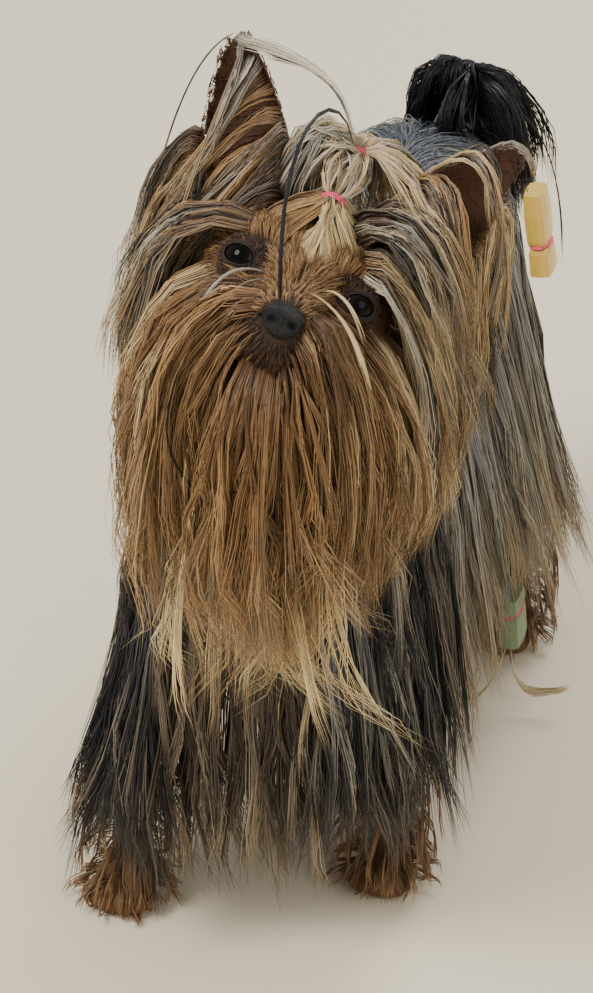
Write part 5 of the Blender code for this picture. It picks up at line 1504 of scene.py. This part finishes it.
def paint_skin(mesh):
    """The skin's colours by part of the body, and its place in the baked texture."""
    points = get_array(mesh.vertices, "co", 3)
    part, _, _ = locate(points)
    colours = np.array([TINTS.get(name, BROWN) for name in PARTS])[part] * 0.75
    inside = (points - np.array(HEAD_CENTRE)) @ HEAD_AXES
    lips = (part == PARTS.index("head")) & (inside[:, 1] < -0.030) & (inside[:, 2] < -0.012)
    colours[lips | (inside[:, 1] < -0.046)] = DARK
    for side in (-1, 1):
        gap = np.linalg.norm(inside - np.array(on_side(EYE, side)), axis=1)
        colours[gap < EYE_SURROUND] = DARK
    set_colours(mesh, colours)

    part, _, middle = locate(get_array(mesh.polygons, "center", 3))
    totals = get_array(mesh.polygons, "loop_total", 1, int)
    owner = np.repeat(np.arange(len(totals)), totals)
    corner = get_array(mesh.loops, "vertex_index", 1, int)
    uv = np.zeros((len(corner), 2))
    for index, name in enumerate(PARTS):
        mine = part[owner] == index
        _, along, turn = place_on(name, points[corner[mine]])
        face_turn = middle[owner[mine]]
        turn = face_turn + (turn - face_turn + 0.5) % 1.0 - 0.5
        uv[mine] = chart_place(np.full(mine.sum(), index), along, turn)
    set_uvs(mesh, uv)


def make_lids(name, middle, look, across, up):
    """The rim of an eye's lids, a thin closed ring round its opening."""
    bm = bmesh.new()
    rings = []
    for i in range(LID_STEPS):
        a = math.tau * i / LID_STEPS
        spoke = across * math.cos(a) * LID_HALF[0] + up * math.sin(a) * LID_HALF[1]
        out = (spoke + look * 0.0056).normalized()
        away = (spoke - out * spoke.dot(out)).normalized()
        edge = middle + out * (EYE_RADIUS + 0.0002)
        ring = []
        for k in range(LID_SIDES):
            b = math.tau * k / LID_SIDES
            wide = away * (0.0006 + LID_RADIUS * math.cos(b))
            ring.append(edge + wide + out * (0.0004 * math.sin(b) - 0.0003 * math.cos(b)))
        rings.append([bm.verts.new(p) for p in ring])
    for i in range(LID_STEPS):
        near, far = rings[i], rings[(i + 1) % LID_STEPS]
        for k in range(LID_SIDES):
            m = (k + 1) % LID_SIDES
            bm.faces.new((near[k], near[m], far[m], far[k]))
    return mesh_of(name, bm)


def make_eyes():
    """Two wet dark brown eyeballs with their lids."""
    wet = hair_material("eye", 0.07, 0.10)
    rim = plain_material("eye_rim", (0.007, 0.005, 0.004), 0.60, bump=0.3)
    for side, name in ((1, "left"), (-1, "right")):
        look, across, up = (Vector(v) for v in eye_axes(side))
        middle = HEAD @ on_side(EYE, side)
        bm = bmesh.new()
        turn = look.to_track_quat("Z", "Y").to_matrix().to_4x4()
        ball(bm, Vector(), (EYE_RADIUS - 0.0001,) * 3, 64, 48, Matrix.Translation(middle) @ turn)
        light = [np.interp((v.co - middle).angle(look), IRIS_AT, IRIS_LIGHT) for v in bm.verts]
        eye = mesh_of("eyeball_" + name, bm)
        set_colours(eye, PUPIL_SHADE + np.outer(light, IRIS))
        place_mesh("eyeball_" + name, eye, wet, "brown", "eye_" + name)
        lids = make_lids("eye_rim_" + name, middle, look, across, up)
        place_mesh("eye_rim_" + name, lids, rim, "black")


def make_nose():
    """Nose leather with its nostrils and the groove between them."""
    bm = bmesh.new()
    ball(bm, Vector(), (1, 1, 1), 64, 48)
    for v in bm.verts:
        x, y, z = v.co.normalized()
        wide = 1 + 0.10 * (z > 0) * z - 0.12 * max(-z, 0)
        p = Vector((NOSE_HALF.x * x * wide, NOSE_HALF.y * y, NOSE_HALF.z * z))
        p.y += GROOVE_DEPTH * math.exp(-(x / 0.07) ** 2) * max(-y, 0) * (0.2 + 0.8 * (z < 0.15))
        for side in (-1, 1):
            across = (x - side * 0.52) / 0.20
            over = (z + 0.08 + 0.25 * (abs(x) - 0.5)) / 0.17
            if y < 0.2:
                p.y += NOSTRIL_DEPTH * math.exp(-(across ** 2 + over ** 2))
        v.co = HEAD @ (NOSE + p)
    leather = plain_material("nose_leather", (0.003, 0.003, 0.003), 0.40, 0.4, 1100.0, 0.9)
    place_mesh("nose_leather", mesh_of("nose_leather", bm), leather, "black", "nose")


def dress_nodes():
    """Better materials on the nodes that stay."""
    bands = plain_material("elastic", (0.75, 0.06, 0.13), 0.38, 0.15, 900.0, 0.3)
    papers = {
        "wrap_yellow": plain_material("paper_yellow", (0.78, 0.46, 0.07), 0.28, 0.40, 130.0, 0.5, 0.5),
        "wrap_green": plain_material("paper_green", (0.16, 0.24, 0.11), 0.45, 0.5, 160.0, 0.3),
    }
    for name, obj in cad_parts.items():
        look = bands if "band" in name else papers.get(name)
        if look:
            obj.data.materials.clear()
            obj.data.materials.append(look)


# Studio
FLOOR_SIZE = 4.0
FLOOR_COLOUR = (0.90, 0.77, 0.55)
SKY_COLOUR = (0.95, 0.97, 1.0, 1)
SKY_STRENGTH = 0.60
# Lights aimed at one place: name, where it stands, size across and power
LIGHTS = (
    ("key", (-0.9, -1.1, 1.7), 0.9, 38.0),
    ("fill", (1.5, -0.9, 0.9), 1.2, 9.0),
    ("back", (0.4, 1.5, 1.5), 0.9, 24.0),
)
LIT_PLACE = (0, 0, 0.18)
# The photograph's camera: where it stands, how it is turned, tilted down and rolled in degrees, and
# its focal length in pixels of a photograph that many pixels tall
CAMERA_PLACE = Vector((0.39179, -1.34295, 1.04))
CAMERA_TURN, CAMERA_TILT, CAMERA_ROLL = 16.0, 32.2, 0.99
FOCAL_PIXELS, PHOTO_PIXELS = 4763, 993
SENSOR_HEIGHT = 36.0


def aim(obj, target):
    """Turn a light or camera towards a place."""
    obj.rotation_euler = (Vector(target) - obj.location).to_track_quat("-Z", "Y").to_euler()


def make_studio():
    """A pale floor, soft lights and the photograph's camera."""
    bm = bmesh.new()
    bmesh.ops.create_grid(bm, x_segments=2, y_segments=2, size=FLOOR_SIZE)
    mesh = bpy.data.meshes.new("floor")
    bm.to_mesh(mesh)
    bm.free()
    mesh.materials.append(plain_material("floor", FLOOR_COLOUR, 0.6, vary=0.03, scale=6.0))
    link("floor", mesh)
    world = bpy.data.worlds.new("studio")
    bpy.context.scene.world = world
    world.use_nodes = True
    world.node_tree.nodes["Background"].inputs["Color"].default_value = SKY_COLOUR
    world.node_tree.nodes["Background"].inputs["Strength"].default_value = SKY_STRENGTH
    for name, place, size, power in LIGHTS:
        lamp = bpy.data.lights.new(name, "AREA")
        lamp.shape = "DISK"
        lamp.size = size
        lamp.energy = power
        light = link(name, lamp)
        light.location = place
        aim(light, LIT_PLACE)
    turn, tilt, roll = (math.radians(a) for a in (CAMERA_TURN, CAMERA_TILT, CAMERA_ROLL))
    level = Vector((math.cos(turn), math.sin(turn), 0))
    depth = Vector((-math.sin(turn), math.cos(turn), 0))
    ahead = depth * math.cos(tilt) - Vector((0, 0, 1)) * math.sin(tilt)
    above = depth * math.sin(tilt) + Vector((0, 0, 1)) * math.cos(tilt)
    right = level * math.cos(roll) + above * math.sin(roll)
    up = above * math.cos(roll) - level * math.sin(roll)
    data = bpy.data.cameras.new("camera")
    data.sensor_fit = "VERTICAL"
    data.sensor_height = SENSOR_HEIGHT
    data.lens = FOCAL_PIXELS / PHOTO_PIXELS * SENSOR_HEIGHT
    camera = link("camera", data)
    matrix = Matrix((right, up, -ahead)).transposed().to_4x4()
    matrix.translation = CAMERA_PLACE + OFFSET
    camera.matrix_world = matrix
    bpy.context.scene.camera = camera


def main():
    """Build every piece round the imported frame."""
    make_studio()
    dress_nodes()
    skin = make_skin()
    core = BVHTree.FromPolygons(
        [v.co.copy() for v in skin.vertices], [tuple(p.vertices) for p in skin.polygons]
    )
    paint_skin(skin)
    legs = ["leg_" + name for name in FEET]
    place_mesh("skin", skin, hair_material("skin", 0.7, 0.2), "steel",
               "torso", "head", "neck", "ear_left", "ear_right", *legs)
    dice = np.random.default_rng(SEED)
    grow_body(dice, core)
    grow_head(dice, core)
    make_eyes()
    make_nose()


main()
